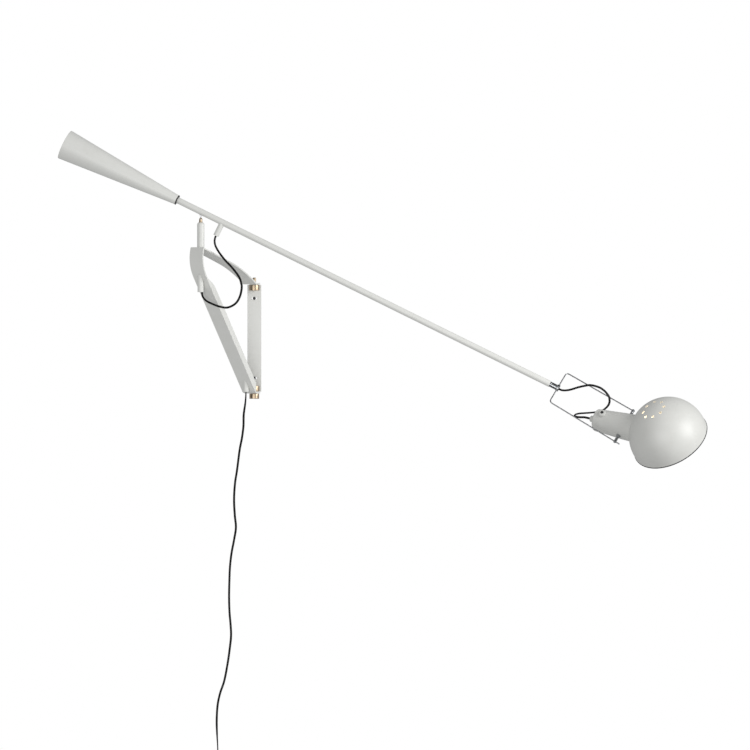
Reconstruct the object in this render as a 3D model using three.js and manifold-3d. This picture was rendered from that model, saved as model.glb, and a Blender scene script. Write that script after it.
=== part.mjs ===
// Wall lamp with a counterbalanced arm on a swinging bracket.
//
// Millimetres, +Z up. X runs along the wall, +Y points into the wall, and the origin is the
// centre of the wall plate's back face. Each nested group is one moving body: the bracket
// swings on the wall plate, the swivel turns in the bracket's post, the arm tilts on the
// swivel, the ferrule rolls in the arm's end, the wire fork swings on the ferrule, and the
// shade tilts in the fork.
import * as THREE from "three";
import { mergeVertices } from "three/addons/utils/BufferGeometryUtils.js";
import Module from "manifold-3d";

const wasm = await Module();
wasm.setup();

const DEG = Math.PI / 180;
const GAP = 0.3; // clearance between neighbouring pieces

// Resting angles of the joints, in degrees.
const BRACKET_ANGLE = -131.4; // bracket's outward direction, from +X
const ARM_ANGLE = -7.9; // arm's direction in plan, from +X
const ARM_DROP = 26.1; // arm below the horizontal, towards the shade
const FORK_ROLL = 51.8; // crossbar from the horizontal, about the arm
const FORK_SWING = 7.4; // fork legs from the arm's line
const SHADE_TILT = -29.4; // shade's neck from the fork legs

// Wall plate and its hinge.
const PLATE = { width: 40, height: 308, thickness: 5 };
const SCREW_HEIGHT = 115;
const SCREW_SLOT = { length: 15, width: 6.4 };
const SCREW = { head: 4.3, shank: 2.2, headHeight: 2.6 };
const HINGE_SETBACK = 26; // hinge axis in front of the wall
const HINGE_PIN = 5;
const BLOCK = { radius: 15, bottom: 137.5, top: 153.2, neck: 15 };
const WASHER = { radius: 14, bottom: 153.5, top: 154.9 };
const CAP = { radius: 14, bottom: 159.5, top: 174.7 };

// Bracket: a flat strip folded into a triangle, in the vertical plane through the hinge.
const STRIP = { width: 50, thickness: 4 };
const EAR_HEIGHT = 157.2;
const EAR_TIP = { radius: 17, widensTo: 22 }; // the ears' round ends, seen from above
const EAR_BEND = 19;
const TOP_BEND_END = [128, 217];
const TOP_BEND_PULL = [70.7, 196.7];
const CORNER = [244, 258];
const DIAGONAL_FOOT = [19.4, -157.2];
const DIAGONAL_SLOPE = 57.4; // degrees from the horizontal
const DIAGONAL_LENGTH = 393;
const NOSE_PULL = [256.6, 214.6];
const FLANGE = { thickness: 3, depth: 15, nearestHinge: 19.5, foot: -129, taper: [354, 368] };
const CABLE_INSET = 7.5; // cable behind the diagonal's centre line
const GLAND_RADIUS = 8.6;
const STRUT_GLANDS = {
  strut_gland_upper: { reach: 225, bottom: 132 },
  strut_gland_lower: { reach: 36, bottom: -155 },
};

// Post and swivel.
const POST = { reach: 230, radius: 10.5, bottom: 245, shoulder: 327, top: 331.5, bore: 6.6, blind: 262 };
const SWIVEL = { radius: 4.8, bottom: 266, top: 345.5, slot: 3.2, slotDepth: 9.5 };
const TILT_AXIS_HEIGHT = 341;
const TILT_PIN = { radius: 1.25, length: 8.8 };

// Arm, measured along it from the point above the tilt pin.
const ARM_RISE = 19.6; // arm's centre line above the tilt pin
const ARM = { radius: 9, bore: 7.5, tail: -330, tip: 1115.4 };
const ARM_GLAND = { at: 60.4, radius: 8, reach: 43 };
const LUG = { thickness: 2.6, eye: 2.6, neck: 1.8, root: 5 };
const WEIGHT = { front: -87, rear: -449.6, frontRadius: 14.2, rearRadius: 44, wall: 2 };
const WEIGHT_CORE = { front: -300, rear: -440 };
const WEIGHT_RING = { radius: 14.6, thickness: 2.4 };

// Ferrule and wire fork.
const FERRULE = { radius: 7.8, flange: 10, flangeStart: 21, length: 29, spigot: 22 };
const CROSSBAR = { at: 25, offset: 3.6 };
const CORD_BORE_OFFSET = -2;
const WIRE = { radius: 1.75, halfWidth: 58.5, bend: 10, splay: 0.9 };
const FORK_LENGTH = 219; // crossbar to the shade's pins
const LEG_TIPS = { lower: 15, upper: 5 }; // wire beyond the pins
const STANDOFF = { shank: 4.2, head: 7, spigot: 3, inner: 33, seat: 38.5, cone: 46 };

// Shade: a neck along its own axis, and a bowl that opens to its side.
const NECK = { back: -90, backRadius: 32, pinRadius: 38, frontRadius: 40, wall: 1.2, edge: 6 };
const BOWL = { ahead: 142, radius: 113, wall: 1.2, skirt: 14.4, lean: -15 };
const NECK_OPENING = 37.5;
const VENTS = { count: 8, circle: 32, radius: 4.7 };
const RIM_BEAD = 1.7;
const SWITCH = { at: -63, collar: 11.5, button: 3.4, barrel: 7.6, collarTop: 40 };

// Cords.
const CORD = 2.5; // radius of the flex
const CORD_BORE = 2.9;
const FOLD_RADIUS = 15; // the hank's end folds
const HANK = { run: 80, layers: 5, pitch: 5.4 };
const HANK_TOP = -1203;
const PLUG = { width: 36, thickness: 14, height: 38, pin: 2, pinLength: 19, pinSpacing: 19 };

// Materials.
const paint = { color: 0xdadcd6, roughness: 0.45, metalness: 0 };
const brass = { color: 0xb08d57, roughness: 0.3, metalness: 1 };
const chrome = { color: 0xb9bcc0, roughness: 0.15, metalness: 1 };
const steel = { color: 0x8f9296, roughness: 0.35, metalness: 1 };
const iron = { color: 0x3c3c3e, roughness: 0.7, metalness: 0.6 };
const blackPlastic = { color: 0x141414, roughness: 0.5, metalness: 0 };
const nylon = { color: 0xe8e6df, roughness: 0.6, metalness: 0 };
const flex = { color: 0x0d0d0d, roughness: 0.55, metalness: 0 };
const glass = { color: 0xfff1d6, roughness: 0.3, metalness: 0 };

// ---------------------------------------------------------------- shape helpers

function toSolid(geometry) {
  const bare = geometry.clone();
  for (const name of ["normal", "uv"]) bare.deleteAttribute(name);
  const merged = mergeVertices(bare, 1e-4);
  const index = merged.index.array;
  const corners = [];
  for (let i = 0; i < index.length; i += 3) {
    const [a, b, c] = index.slice(i, i + 3);
    if (a !== b && b !== c && c !== a) corners.push(a, b, c);
  }
  const vertProperties = new Float32Array(merged.attributes.position.array);
  const triVerts = new Uint32Array(corners);
  return new wasm.Manifold(new wasm.Mesh({ numProp: 3, vertProperties, triVerts }));
}

function toGeometry(solid) {
  const mesh = solid.getMesh();
  const geometry = new THREE.BufferGeometry();
  geometry.setAttribute("position", new THREE.BufferAttribute(mesh.vertProperties, 3));
  geometry.setIndex(new THREE.BufferAttribute(mesh.triVerts, 1));
  return geometry;
}

const cut = (base, ...tools) =>
  toGeometry(tools.reduce((solid, tool) => solid.subtract(toSolid(tool)), toSolid(base)));
const join = (base, ...others) =>
  toGeometry(others.reduce((solid, other) => solid.add(toSolid(other)), toSolid(base)));
const common = (a, b) => toGeometry(toSolid(a).intersect(toSolid(b)));

// A solid of revolution about Z, from [radius, height] points that run up the outside.
function turned(profile, segments = 20) {
  const points = profile.map(([radius, height]) => new THREE.Vector2(radius, height));
  return new THREE.LatheGeometry(points, segments).rotateX(Math.PI / 2);
}

// A plain or hollow rod along +Z from one height to another.
function rod(radius, from, to, segments = 16) {
  return turned([[0, from], [radius, from], [radius, to], [0, to]], segments);
}

function sleeve(radius, bore, from, to, segments = 20) {
  const profile = [[bore, from], [radius, from], [radius, to], [bore, to], [bore, from]];
  return turned(profile, segments);
}

// The same shapes along +X or +Y instead of +Z.
const alongX = (geometry) => geometry.rotateY(Math.PI / 2);
const alongY = (geometry) => geometry.rotateX(-Math.PI / 2);

const box = (x, y, z) => new THREE.BoxGeometry(x, y, z);
const toVectors = (points) => points.map((p) => new THREE.Vector3(...p));
const toPlane = (points) => points.map((p) => new THREE.Vector2(...p));

// An outline in the X-Z plane, thickened along Y between two positions.
function plate(outline, fromY, toY) {
  const shape = new THREE.Shape(toPlane(outline));
  const depth = toY - fromY;
  const slab = new THREE.ExtrudeGeometry(shape, { depth, bevelEnabled: false });
  return slab.rotateX(Math.PI / 2).translate(0, toY, 0);
}

// A stadium outline: two half circles joined by straight sides, along its first axis.
function stadium(halfLength, radius, segments = 10) {
  const outline = [];
  for (const side of [1, -1]) {
    for (let i = 0; i <= segments; i++) {
      const angle = (-90 + (180 * i) / segments) * DEG;
      const x = side * (halfLength - radius + radius * Math.cos(angle));
      outline.push([x, side * radius * Math.sin(angle)]);
    }
  }
  return outline;
}

// A tube of even section along a curve.
function tube(curve, radius, steps, sides = 8) {
  const ring = Array.from({ length: sides }, (_, i) => {
    const angle = (2 * Math.PI * i) / sides;
    return new THREE.Vector2(radius * Math.cos(angle), radius * Math.sin(angle));
  });
  const options = { extrudePath: curve, steps, bevelEnabled: false };
  return new THREE.ExtrudeGeometry(new THREE.Shape(ring), options);
}

const smoothLine = (points) => new THREE.CatmullRomCurve3(toVectors(points), false, "centripetal");

// The line that runs beside a polyline at a distance, to its left, with mitred corners.
function offsetLine(points, distance) {
  return points.map((point, i) => {
    const before = points[Math.max(i - 1, 0)];
    const after = points[Math.min(i + 1, points.length - 1)];
    const normals = [[before, point], [point, after]]
      .map(([a, b]) => new THREE.Vector2(a[1] - b[1], b[0] - a[0]))
      .filter((normal) => normal.length() > 0)
      .map((normal) => normal.normalize());
    const mitre = normals.reduce((sum, n) => sum.add(n), new THREE.Vector2()).normalize();
    const stretch = distance / mitre.dot(normals[0]);
    return [point[0] + mitre.x * stretch, point[1] + mitre.y * stretch];
  });
}

function bend(from, pull, to, steps = 7) {
  const curve = new THREE.QuadraticBezierCurve(...toPlane([from, pull, to]));
  return curve.getPoints(steps).map((p) => [p.x, p.y]);
}

const root = new THREE.Group();

function group(parent, position, rotation = [0, 0, 0]) {
  const child = new THREE.Group();
  child.position.set(...position);
  child.rotation.set(...rotation.map((angle) => angle * DEG));
  parent.add(child);
  return child;
}

function add(parent, name, geometry, finish) {
  const mesh = new THREE.Mesh(geometry, new THREE.MeshStandardMaterial(finish));
  mesh.name = name;
  parent.add(mesh);
}

// ---------------------------------------------------------------- wall plate and hinge

function wallPlate() {
  let slab = box(PLATE.width, PLATE.thickness, PLATE.height).translate(0, -PLATE.thickness / 2, 0);
  for (const side of [1, -1]) {
    const slot = plate(stadium(SCREW_SLOT.length / 2, SCREW_SLOT.width / 2), -10, 10);
    slab = cut(slab, slot.translate(0, 0, side * SCREW_HEIGHT));
  }
  return slab;
}

function wallScrew() {
  const { head, shank, headHeight } = SCREW;
  const front = PLATE.thickness + GAP;
  const profile = [[0, 0], [shank, 0], [shank, front], [head, front], [head, front + 1.4]];
  profile.push([head * 0.7, front + headHeight], [0, front + headHeight]);
  return turned(profile, 20).rotateX(Math.PI / 2);
}

function hingeBlock() {
  const { radius, bottom, top, neck } = BLOCK;
  const barrel = rod(radius, bottom, top, 24);
  const reach = HINGE_SETBACK - PLATE.thickness - GAP;
  const bridge = box(neck, reach, top - bottom).translate(0, reach / 2, (top + bottom) / 2);
  return cut(join(barrel, bridge), rod(HINGE_PIN + GAP, bottom - 1, top + 1));
}

// The upper pin stands plain above its ear; the lower one ends in a cap that holds the ear.
function hingePin(capped) {
  const { radius, bottom, top } = CAP;
  const head = capped ? radius : HINGE_PIN;
  const profile = [[0, BLOCK.bottom + 3], [HINGE_PIN, BLOCK.bottom + 3], [HINGE_PIN, bottom]];
  if (capped) profile.push([head, bottom]);
  profile.push([head, top - 1.5], [head - 1.5, top], [0, top]);
  return turned(profile, 24);
}

const hingeAxis = group(root, [0, -HINGE_SETBACK, 0]);
add(root, "wall_plate", wallPlate(), paint);
for (const [end, turn] of [["upper", 0], ["lower", Math.PI]]) {
  const height = end === "upper" ? SCREW_HEIGHT : -SCREW_HEIGHT;
  add(root, `wall_screw_${end}`, wallScrew().translate(0, 0, height), iron);
  add(hingeAxis, `hinge_block_${end}`, hingeBlock().rotateY(turn), brass);
  add(hingeAxis, `hinge_pin_${end}`, hingePin(end === "lower").rotateY(turn), brass);
}

// ---------------------------------------------------------------- swinging bracket

const bracket = group(hingeAxis, [0, 0, 0], [0, 0, BRACKET_ANGLE]);
const diagonalPoint = (along, inward = 0) => {
  const [cos, sin] = [Math.cos(DIAGONAL_SLOPE * DEG), Math.sin(DIAGONAL_SLOPE * DEG)];
  return [
    DIAGONAL_FOOT[0] + along * cos - inward * sin,
    DIAGONAL_FOOT[1] + along * sin + inward * cos,
  ];
};

function stripLine() {
  const earEnd = -STRIP.width / 2;
  return [
    [earEnd, EAR_HEIGHT],
    ...bend([EAR_BEND, EAR_HEIGHT], TOP_BEND_PULL, TOP_BEND_END),
    ...bend(CORNER, NOSE_PULL, diagonalPoint(DIAGONAL_LENGTH)),
    DIAGONAL_FOOT,
    [earEnd, -EAR_HEIGHT],
  ];
}

// A side flange of the diagonal, which turns it into a channel for the cable.
function flange(side) {
  const { thickness, depth, nearestHinge, foot, taper } = FLANGE;
  const outline = [
    diagonalPoint(8),
    [nearestHinge, diagonalPoint(8)[1]],
    [nearestHinge, foot],
    diagonalPoint(taper[0], depth),
    diagonalPoint(taper[1], depth * 0.75),
    diagonalPoint(DIAGONAL_LENGTH),
  ];
  const edge = (side * STRIP.width) / 2;
  const inner = edge - side * thickness;
  return plate(outline, Math.min(edge, inner), Math.max(edge, inner));
}

// The strip seen from above: its sides run in to a round end about the hinge axis.
function stripPlan() {
  const { radius, widensTo } = EAR_TIP;
  const halfWidth = STRIP.width / 2;
  const tangent = Math.acos(radius / Math.hypot(widensTo, halfWidth));
  const start = Math.atan2(halfWidth, widensTo) + tangent;
  const outline = [];
  for (let i = 0; i <= 12; i++) {
    const angle = start + ((2 * Math.PI - 2 * start) * i) / 12;
    outline.push([radius * Math.cos(angle), radius * Math.sin(angle)]);
  }
  const pastCorner = CORNER[0] + 60;
  outline.push([widensTo, -halfWidth], [pastCorner, -halfWidth]);
  outline.push([pastCorner, halfWidth], [widensTo, halfWidth]);
  return outline;
}

function bracketStrip() {
  const half = STRIP.thickness / 2;
  const line = stripLine();
  const outline = [...offsetLine(line, half), ...offsetLine(line, -half).reverse()];
  const ribbon = plate(outline, -STRIP.width / 2, STRIP.width / 2);
  const channel = join(ribbon, flange(1), flange(-1));
  const plan = plate(stripPlan(), -300, 300).rotateX(Math.PI / 2);
  const holes = [rod(HINGE_PIN + GAP, -200, -100), rod(HINGE_PIN + GAP, 100, 200)];
  for (const { reach, bottom } of Object.values(STRUT_GLANDS)) {
    holes.push(rod(CORD_BORE, bottom + 15, bottom + 50, 16).translate(reach, 0, 0));
  }
  return cut(common(channel, plan), ...holes);
}

// A cable gland that hangs straight down from the diagonal's sloping outer face.
function strutGland({ reach, bottom }) {
  const body = rod(GLAND_RADIUS, bottom, bottom + 50, 28).translate(reach, 0, 0);
  const bore = rod(CORD_BORE, bottom - 1, bottom + 51, 16).translate(reach, 0, 0);
  const inside = STRIP.thickness / 2 + GAP;
  const behindFace = plate(
    [
      diagonalPoint(-80, -inside),
      diagonalPoint(DIAGONAL_LENGTH + 60, -inside),
      diagonalPoint(DIAGONAL_LENGTH + 60, 80),
      diagonalPoint(-80, 80),
    ],
    -STRIP.width,
    STRIP.width,
  );
  return cut(body, behindFace, bore);
}

function postTube() {
  const { radius, bottom, shoulder, top, bore, blind } = POST;
  const profile = [[0, bottom], [radius, bottom], [radius, shoulder], [bore + 0.8, top]];
  profile.push([bore, top], [bore, blind], [0, blind]);
  const topLimb = [TOP_BEND_END, CORNER];
  const belowLimb = plate(
    [
      ...offsetLine(topLimb, STRIP.thickness / 2 + GAP),
      [CORNER[0] + 20, CORNER[1] + 8],
      [CORNER[0] + 20, 150],
      [TOP_BEND_END[0], 150],
    ],
    -STRIP.width,
    STRIP.width,
  );
  return cut(turned(profile).translate(POST.reach, 0, 0), belowLimb);
}

function postBush() {
  const outer = POST.bore - GAP;
  return sleeve(outer, SWIVEL.radius + GAP, SWIVEL.bottom - 2, POST.top, 24);
}

function cableClip(along) {
  const clip = sleeve(CORD + 2, CORD + GAP, -4, 4, 16);
  const [x, z] = diagonalPoint(along, CABLE_INSET);
  return clip.rotateY((90 - DIAGONAL_SLOPE) * DEG).translate(x, 0, z);
}

function strutCable() {
  const points = [33, 150, 270, 375].map((along) => {
    const [x, z] = diagonalPoint(along, CABLE_INSET);
    return [x, 0, z];
  });
  return tube(smoothLine(points), CORD, 12);
}

add(bracket, "bracket_strip", bracketStrip(), paint);
for (const [name, place] of Object.entries(STRUT_GLANDS)) {
  add(bracket, name, strutGland(place), paint);
}
add(bracket, "strut_cable", strutCable(), flex);
add(bracket, "cable_clip_upper", cableClip(300), blackPlastic);
add(bracket, "cable_clip_lower", cableClip(100), blackPlastic);
for (const [end, turn] of [["upper", 0], ["lower", Math.PI]]) {
  const washer = sleeve(WASHER.radius, HINGE_PIN + GAP, WASHER.bottom, WASHER.top);
  add(bracket, `hinge_washer_${end}`, washer.rotateY(turn), nylon);
}
add(bracket, "post_tube", postTube(), paint);
add(bracket, "post_bush", postBush().translate(POST.reach, 0, 0), nylon);

// ---------------------------------------------------------------- swivel in the post

const swivel = group(bracket, [POST.reach, 0, 0], [0, 0, ARM_ANGLE - BRACKET_ANGLE]);

function swivelClevis() {
  const { radius, bottom, top, slot, slotDepth } = SWIVEL;
  const profile = [[0, bottom], [radius, bottom], [radius, top - 5], [radius - 1, top - 2]];
  profile.push([radius - 2, top], [0, top]);
  const gapForLug = box(20, slot, 20).translate(0, 0, top - slotDepth + 10);
  const pinHole = alongY(rod(TILT_PIN.radius + GAP, -10, 10, 16));
  return cut(turned(profile), gapForLug, pinHole.translate(0, 0, TILT_AXIS_HEIGHT));
}

const half = TILT_PIN.length / 2;
const tiltPin = alongY(rod(TILT_PIN.radius, -half, half, 16)).translate(0, 0, TILT_AXIS_HEIGHT);
add(swivel, "swivel_clevis", swivelClevis(), brass);
add(swivel, "tilt_pin", tiltPin, steel);

// ---------------------------------------------------------------- arm and counterweight

const tilt = group(swivel, [0, 0, TILT_AXIS_HEIGHT], [0, ARM_DROP, 0]);
const arm = group(tilt, [0, 0, ARM_RISE]);

function armTube() {
  const shell = alongX(sleeve(ARM.radius, ARM.bore, ARM.tail, ARM.tip, 28));
  return cut(shell, rod(CORD_BORE, -20, 0, 16).translate(ARM_GLAND.at, 0, 0));
}

function armGland() {
  const { at, radius, reach } = ARM_GLAND;
  const body = turned([[0, -reach], [radius - 0.6, -reach], [radius, -reach + 1], [radius, -4], [0, -4]]);
  const bore = rod(CORD_BORE, -reach - 1, 0, 16);
  const armClearance = alongX(rod(ARM.radius + GAP, -30, 30, 28));
  return cut(body, bore, armClearance).translate(at, 0, 0);
}

// A thin plate hanging from the arm, with an eye round the tilt pin.
function armLug() {
  const upright = Math.tan(ARM_DROP * DEG);
  const bottom = -ARM_RISE;
  const top = -ARM.radius - GAP;
  const xAt = (z) => -(z - bottom) * upright; // stays above the pin when the arm is at rest
  const outline = [];
  for (let i = 0; i <= 12; i++) {
    const angle = (180 - ARM_DROP + (180 * i) / 12) * DEG;
    outline.push([LUG.eye * Math.cos(angle), bottom + LUG.eye * Math.sin(angle)]);
  }
  outline.push([xAt(-14) + LUG.neck, -14], [xAt(-11.5) + LUG.neck * 1.4, -11.5]);
  outline.push([xAt(top) + LUG.root, top], [xAt(top) - LUG.root, top]);
  outline.push([xAt(-11.5) - LUG.neck * 1.4, -11.5], [xAt(-14) - LUG.neck, -14]);
  const slab = plate(outline, -LUG.thickness / 2, LUG.thickness / 2);
  const pinHole = alongY(rod(TILT_PIN.radius + GAP, -10, 10, 16)).translate(0, 0, bottom);
  return cut(slab, pinHole);
}

// Radius of the counterweight's outside at a place along the arm.
function weightRadius(along) {
  const part = (WEIGHT.front - along) / (WEIGHT.front - WEIGHT.rear);
  return WEIGHT.frontRadius + part * (WEIGHT.rearRadius - WEIGHT.frontRadius);
}

// Counterweight pieces are turned about the arm: heights are places along it.
function counterweightShell() {
  const { front, rear, wall } = WEIGHT;
  const bore = ARM.radius + GAP;
  const lip = 5;
  const profile = [
    [weightRadius(rear) - lip, rear],
    [weightRadius(rear) - 2, rear],
    [weightRadius(rear) - 0.5, rear + 0.8],
    [weightRadius(rear + 2.5), rear + 2.5],
    [weightRadius(front), front],
    [bore, front],
    [bore, front - 4],
    [weightRadius(front - 4) - wall, front - 4],
    [weightRadius(rear + 8) - wall, rear + 8],
    [weightRadius(rear) - lip, rear + 5],
    [weightRadius(rear) - lip, rear],
  ];
  return alongX(turned(profile, 26));
}

function counterweightCore() {
  const clearance = WEIGHT.wall + 3.6;
  const { front, rear } = WEIGHT_CORE;
  const bore = ARM.radius + GAP;
  const profile = [
    [0, rear],
    [weightRadius(rear) - clearance, rear],
    [weightRadius(front) - clearance, front],
    [bore, front],
    [bore, ARM.tail - 5],
    [0, ARM.tail - 5],
  ];
  return alongX(turned(profile, 24));
}

function counterweightCap() {
  const radius = weightRadius(WEIGHT.rear) - 5 - GAP;
  const bore = 3.4;
  const [rear, front] = [WEIGHT.rear + 1, WEIGHT.rear + 4];
  return alongX(sleeve(radius, bore, rear, front, 30));
}

function counterweightScrew() {
  const rear = WEIGHT.rear + 1;
  const shankEnd = WEIGHT_CORE.rear - GAP;
  const profile = [[0, rear - 3], [3.5, rear - 3], [6, rear - 1.8], [6, rear - GAP]];
  profile.push([3, rear - GAP], [3, shankEnd], [0, shankEnd]);
  return alongX(turned(profile, 20));
}

const ringEnd = WEIGHT.front + GAP + WEIGHT_RING.thickness;
const ring = sleeve(WEIGHT_RING.radius, ARM.radius + GAP, WEIGHT.front + GAP, ringEnd, 32);
const armCable = [[70, 0, 0], [400, 0, 0], [800, 0, 0], [1090, 0, CORD_BORE_OFFSET]];
add(arm, "arm_tube", armTube(), paint);
add(arm, "arm_gland", armGland(), paint);
add(arm, "arm_lug", armLug(), steel);
add(arm, "arm_cable", tube(smoothLine(armCable), CORD, 12), flex);
add(arm, "counterweight_ring", alongX(ring), blackPlastic);
add(arm, "counterweight_shell", counterweightShell(), paint);
add(arm, "counterweight_core", counterweightCore(), iron);
add(arm, "counterweight_cap", counterweightCap(), paint);
add(arm, "counterweight_screw", counterweightScrew(), steel);

// ---------------------------------------------------------------- ferrule and wire fork

const ferruleAxis = group(arm, [ARM.tip, 0, 0], [FORK_ROLL, 0, 0]);

function ferrule() {
  const { radius, flange: flangeRadius, flangeStart, length, spigot } = FERRULE;
  const profile = [
    [0, -spigot],
    [ARM.bore - GAP, -spigot],
    [ARM.bore - GAP, GAP],
    [radius, GAP],
    [radius, flangeStart],
    [flangeRadius, flangeStart + 1],
    [flangeRadius, length - 1],
    [flangeRadius - 1, length],
    [0, length],
  ];
  const cordBore = alongX(rod(CORD_BORE, -spigot - 1, length + 1, 16));
  const crossHole = alongY(rod(WIRE.radius + GAP, -20, 20, 16));
  return cut(
    alongX(turned(profile)),
    cordBore.translate(0, 0, CORD_BORE_OFFSET),
    crossHole.translate(CROSSBAR.at, 0, CROSSBAR.offset),
  );
}

add(ferruleAxis, "ferrule", ferrule(), chrome);

const fork = group(ferruleAxis, [CROSSBAR.at, 0, CROSSBAR.offset], [0, FORK_SWING, 0]);
const legSpread = (along) => WIRE.halfWidth + along * Math.tan(WIRE.splay * DEG);

function wireFork() {
  const { radius, halfWidth, bend: bendRadius } = WIRE;
  const path = new THREE.CurvePath();
  const tips = [FORK_LENGTH + LEG_TIPS.lower, FORK_LENGTH + LEG_TIPS.upper];
  const line = (from, to) => path.add(new THREE.LineCurve3(...toVectors([from, to])));
  const corner = (side) => {
    const onLeg = [bendRadius, side * legSpread(bendRadius), 0];
    const onBar = [0, side * (halfWidth - bendRadius), 0];
    const ends = side < 0 ? [onLeg, onBar] : [onBar, onLeg];
    const curve = [ends[0], [0, side * halfWidth, 0], ends[1]];
    path.add(new THREE.QuadraticBezierCurve3(...toVectors(curve)));
  };
  line([tips[0], -legSpread(tips[0]), 0], [bendRadius, -legSpread(bendRadius), 0]);
  corner(-1);
  line([0, bendRadius - halfWidth, 0], [0, halfWidth - bendRadius, 0]);
  corner(1);
  line([bendRadius, legSpread(bendRadius), 0], [tips[1], legSpread(tips[1]), 0]);
  return tube(path, radius, 66, 6);
}

function standoffPin(side) {
  const { shank, head, spigot, inner, seat, cone } = STANDOFF;
  const wireAt = legSpread(FORK_LENGTH);
  const outer = wireAt + WIRE.radius + 1.6;
  const profile = [[0, inner], [spigot, inner], [spigot, seat], [head, seat], [head, seat + 1.2]];
  profile.push([shank, cone], [shank, outer - 0.6], [shank - 0.6, outer], [0, outer]);
  const wireHole = alongX(rod(WIRE.radius + GAP, -10, 10, 16)).rotateZ(WIRE.splay * DEG);
  const pin = cut(alongY(turned(profile, 14)), wireHole.translate(0, wireAt, 0));
  if (side < 0) pin.rotateX(Math.PI);
  return pin.translate(FORK_LENGTH, 0, 0);
}

add(fork, "wire_fork", wireFork(), chrome);
add(fork, "standoff_pin_upper", standoffPin(1), chrome);
add(fork, "standoff_pin_lower", standoffPin(-1), chrome);

// ---------------------------------------------------------------- shade

const shade = group(fork, [FORK_LENGTH, 0, 0], [0, SHADE_TILT, 0]);
const NECK_FRONT = 45; // before the bowl's shape is cut out of it

// Half the bowl's section, from its rim to its pole, at a radius.
function bowlArc(radius, steps = 9) {
  const arc = [[radius, -BOWL.skirt]];
  for (let i = 0; i < steps; i++) {
    const angle = ((90 * i) / steps) * DEG;
    arc.push([radius * Math.cos(angle), radius * Math.sin(angle)]);
  }
  return [...arc, [0, radius]];
}

const placeBowl = (geometry) => geometry.rotateY(BOWL.lean * DEG).translate(BOWL.ahead, 0, 0);

// The neck's outer line, from its back edge to the bowl.
function neckOutline(inset = 0) {
  const { back, backRadius, pinRadius, frontRadius, edge } = NECK;
  const outline = [];
  for (let i = 0; i <= 4; i++) {
    const angle = (90 * i * DEG) / 4;
    const radius = backRadius - edge + (edge - inset) * Math.sin(angle);
    outline.push([radius, back + edge - (edge - inset) * Math.cos(angle)]);
  }
  outline.push([pinRadius - inset, 0], [frontRadius - inset, NECK_FRONT]);
  return outline;
}

function shadeNeck() {
  const hole = 5.3;
  const outside = [[hole, NECK.back], ...neckOutline()];
  const inside = [...neckOutline(NECK.wall).reverse(), [hole, NECK.back + NECK.wall]];
  const shell = alongX(turned([...outside, ...inside, [hole, NECK.back]], 24));
  const pinHoles = alongY(rod(STANDOFF.spigot + 0.4, -60, 60, 16));
  const switchHole = rod(SWITCH.barrel + GAP, 10, 60, 20).translate(SWITCH.at, 0, 0);
  const bowlClearance = [[0, -BOWL.skirt], ...bowlArc(BOWL.radius + GAP)];
  return cut(shell, pinHoles, switchHole, placeBowl(turned(bowlClearance, 36)));
}

function shadeBowl() {
  const { radius, wall } = BOWL;
  const profile = [...bowlArc(radius - wall).reverse(), ...bowlArc(radius)];
  const vents = [];
  for (let i = 0; i < VENTS.count; i++) {
    const angle = (360 * (i + 0.5) * DEG) / VENTS.count;
    const [x, y] = [VENTS.circle * Math.cos(angle), VENTS.circle * Math.sin(angle)];
    vents.push(rod(VENTS.radius, 90, radius + 5, 10).translate(x, y, 0));
  }
  const bowl = placeBowl(cut(turned(profile, 32), ...vents));
  return cut(bowl, alongX(rod(NECK_OPENING, 0, 70, 30)));
}

function rimBead() {
  const [radius, height] = [BOWL.radius - BOWL.wall / 2, -BOWL.skirt - RIM_BEAD - GAP];
  const profile = [];
  const sides = 6;
  for (let i = 0; i <= sides; i++) {
    const angle = (2 * Math.PI * (i % sides)) / sides;
    profile.push([radius + RIM_BEAD * Math.cos(angle), height + RIM_BEAD * Math.sin(angle)]);
  }
  return placeBowl(turned(profile, 32));
}

function neckGland() {
  const back = NECK.back;
  const [radius, stemBore, length] = [9, 5.3, 17];
  const profile = [
    [CORD_BORE, back - length],
    [radius - 1.5, back - length],
    [radius, back - length + 1.5],
    [radius, back - GAP],
    [stemBore, back - GAP],
    [stemBore, back - 10],
    [CORD_BORE, back - 10],
    [CORD_BORE, back - length],
  ];
  return alongX(turned(profile, 20));
}

function lampHolder() {
  const [back, front, radius, bore, seat] = [-45, 16, 20, 13.8, -12];
  const profile = [
    [0, back],
    [radius - 5, back],
    [radius, back + 8],
    [radius, front - 6],
    [radius + 3, front - 6],
    [radius + 3, front],
    [bore, front],
    [bore, seat],
    [0, seat],
  ];
  return alongX(turned(profile, 20));
}

function bulbCap() {
  const profile = [[0, -11], [4, -11], [4, -9.5], [11.5, -7], [13.3, -5], [13.3, 16.6], [0, 16.6]];
  return alongX(turned(profile, 20));
}

// A thin glass envelope, open at its base inside the cap.
function bulbGlass() {
  const [centre, radius, base, baseRadius, wall] = [67, 30, 17, 13, 1.2];
  const envelope = (inset) => {
    const line = [[baseRadius - inset, base], [baseRadius + 1 - inset, base + 8]];
    for (let i = 0; i <= 8; i++) {
      const angle = (-55 + (145 * i) / 8) * DEG;
      const ball = radius - inset;
      line.push([ball * Math.cos(angle), centre + ball * Math.sin(angle)]);
    }
    line.at(-1)[0] = 0;
    return line;
  };
  return alongX(turned([...envelope(wall).reverse(), ...envelope(0)], 20));
}

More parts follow.
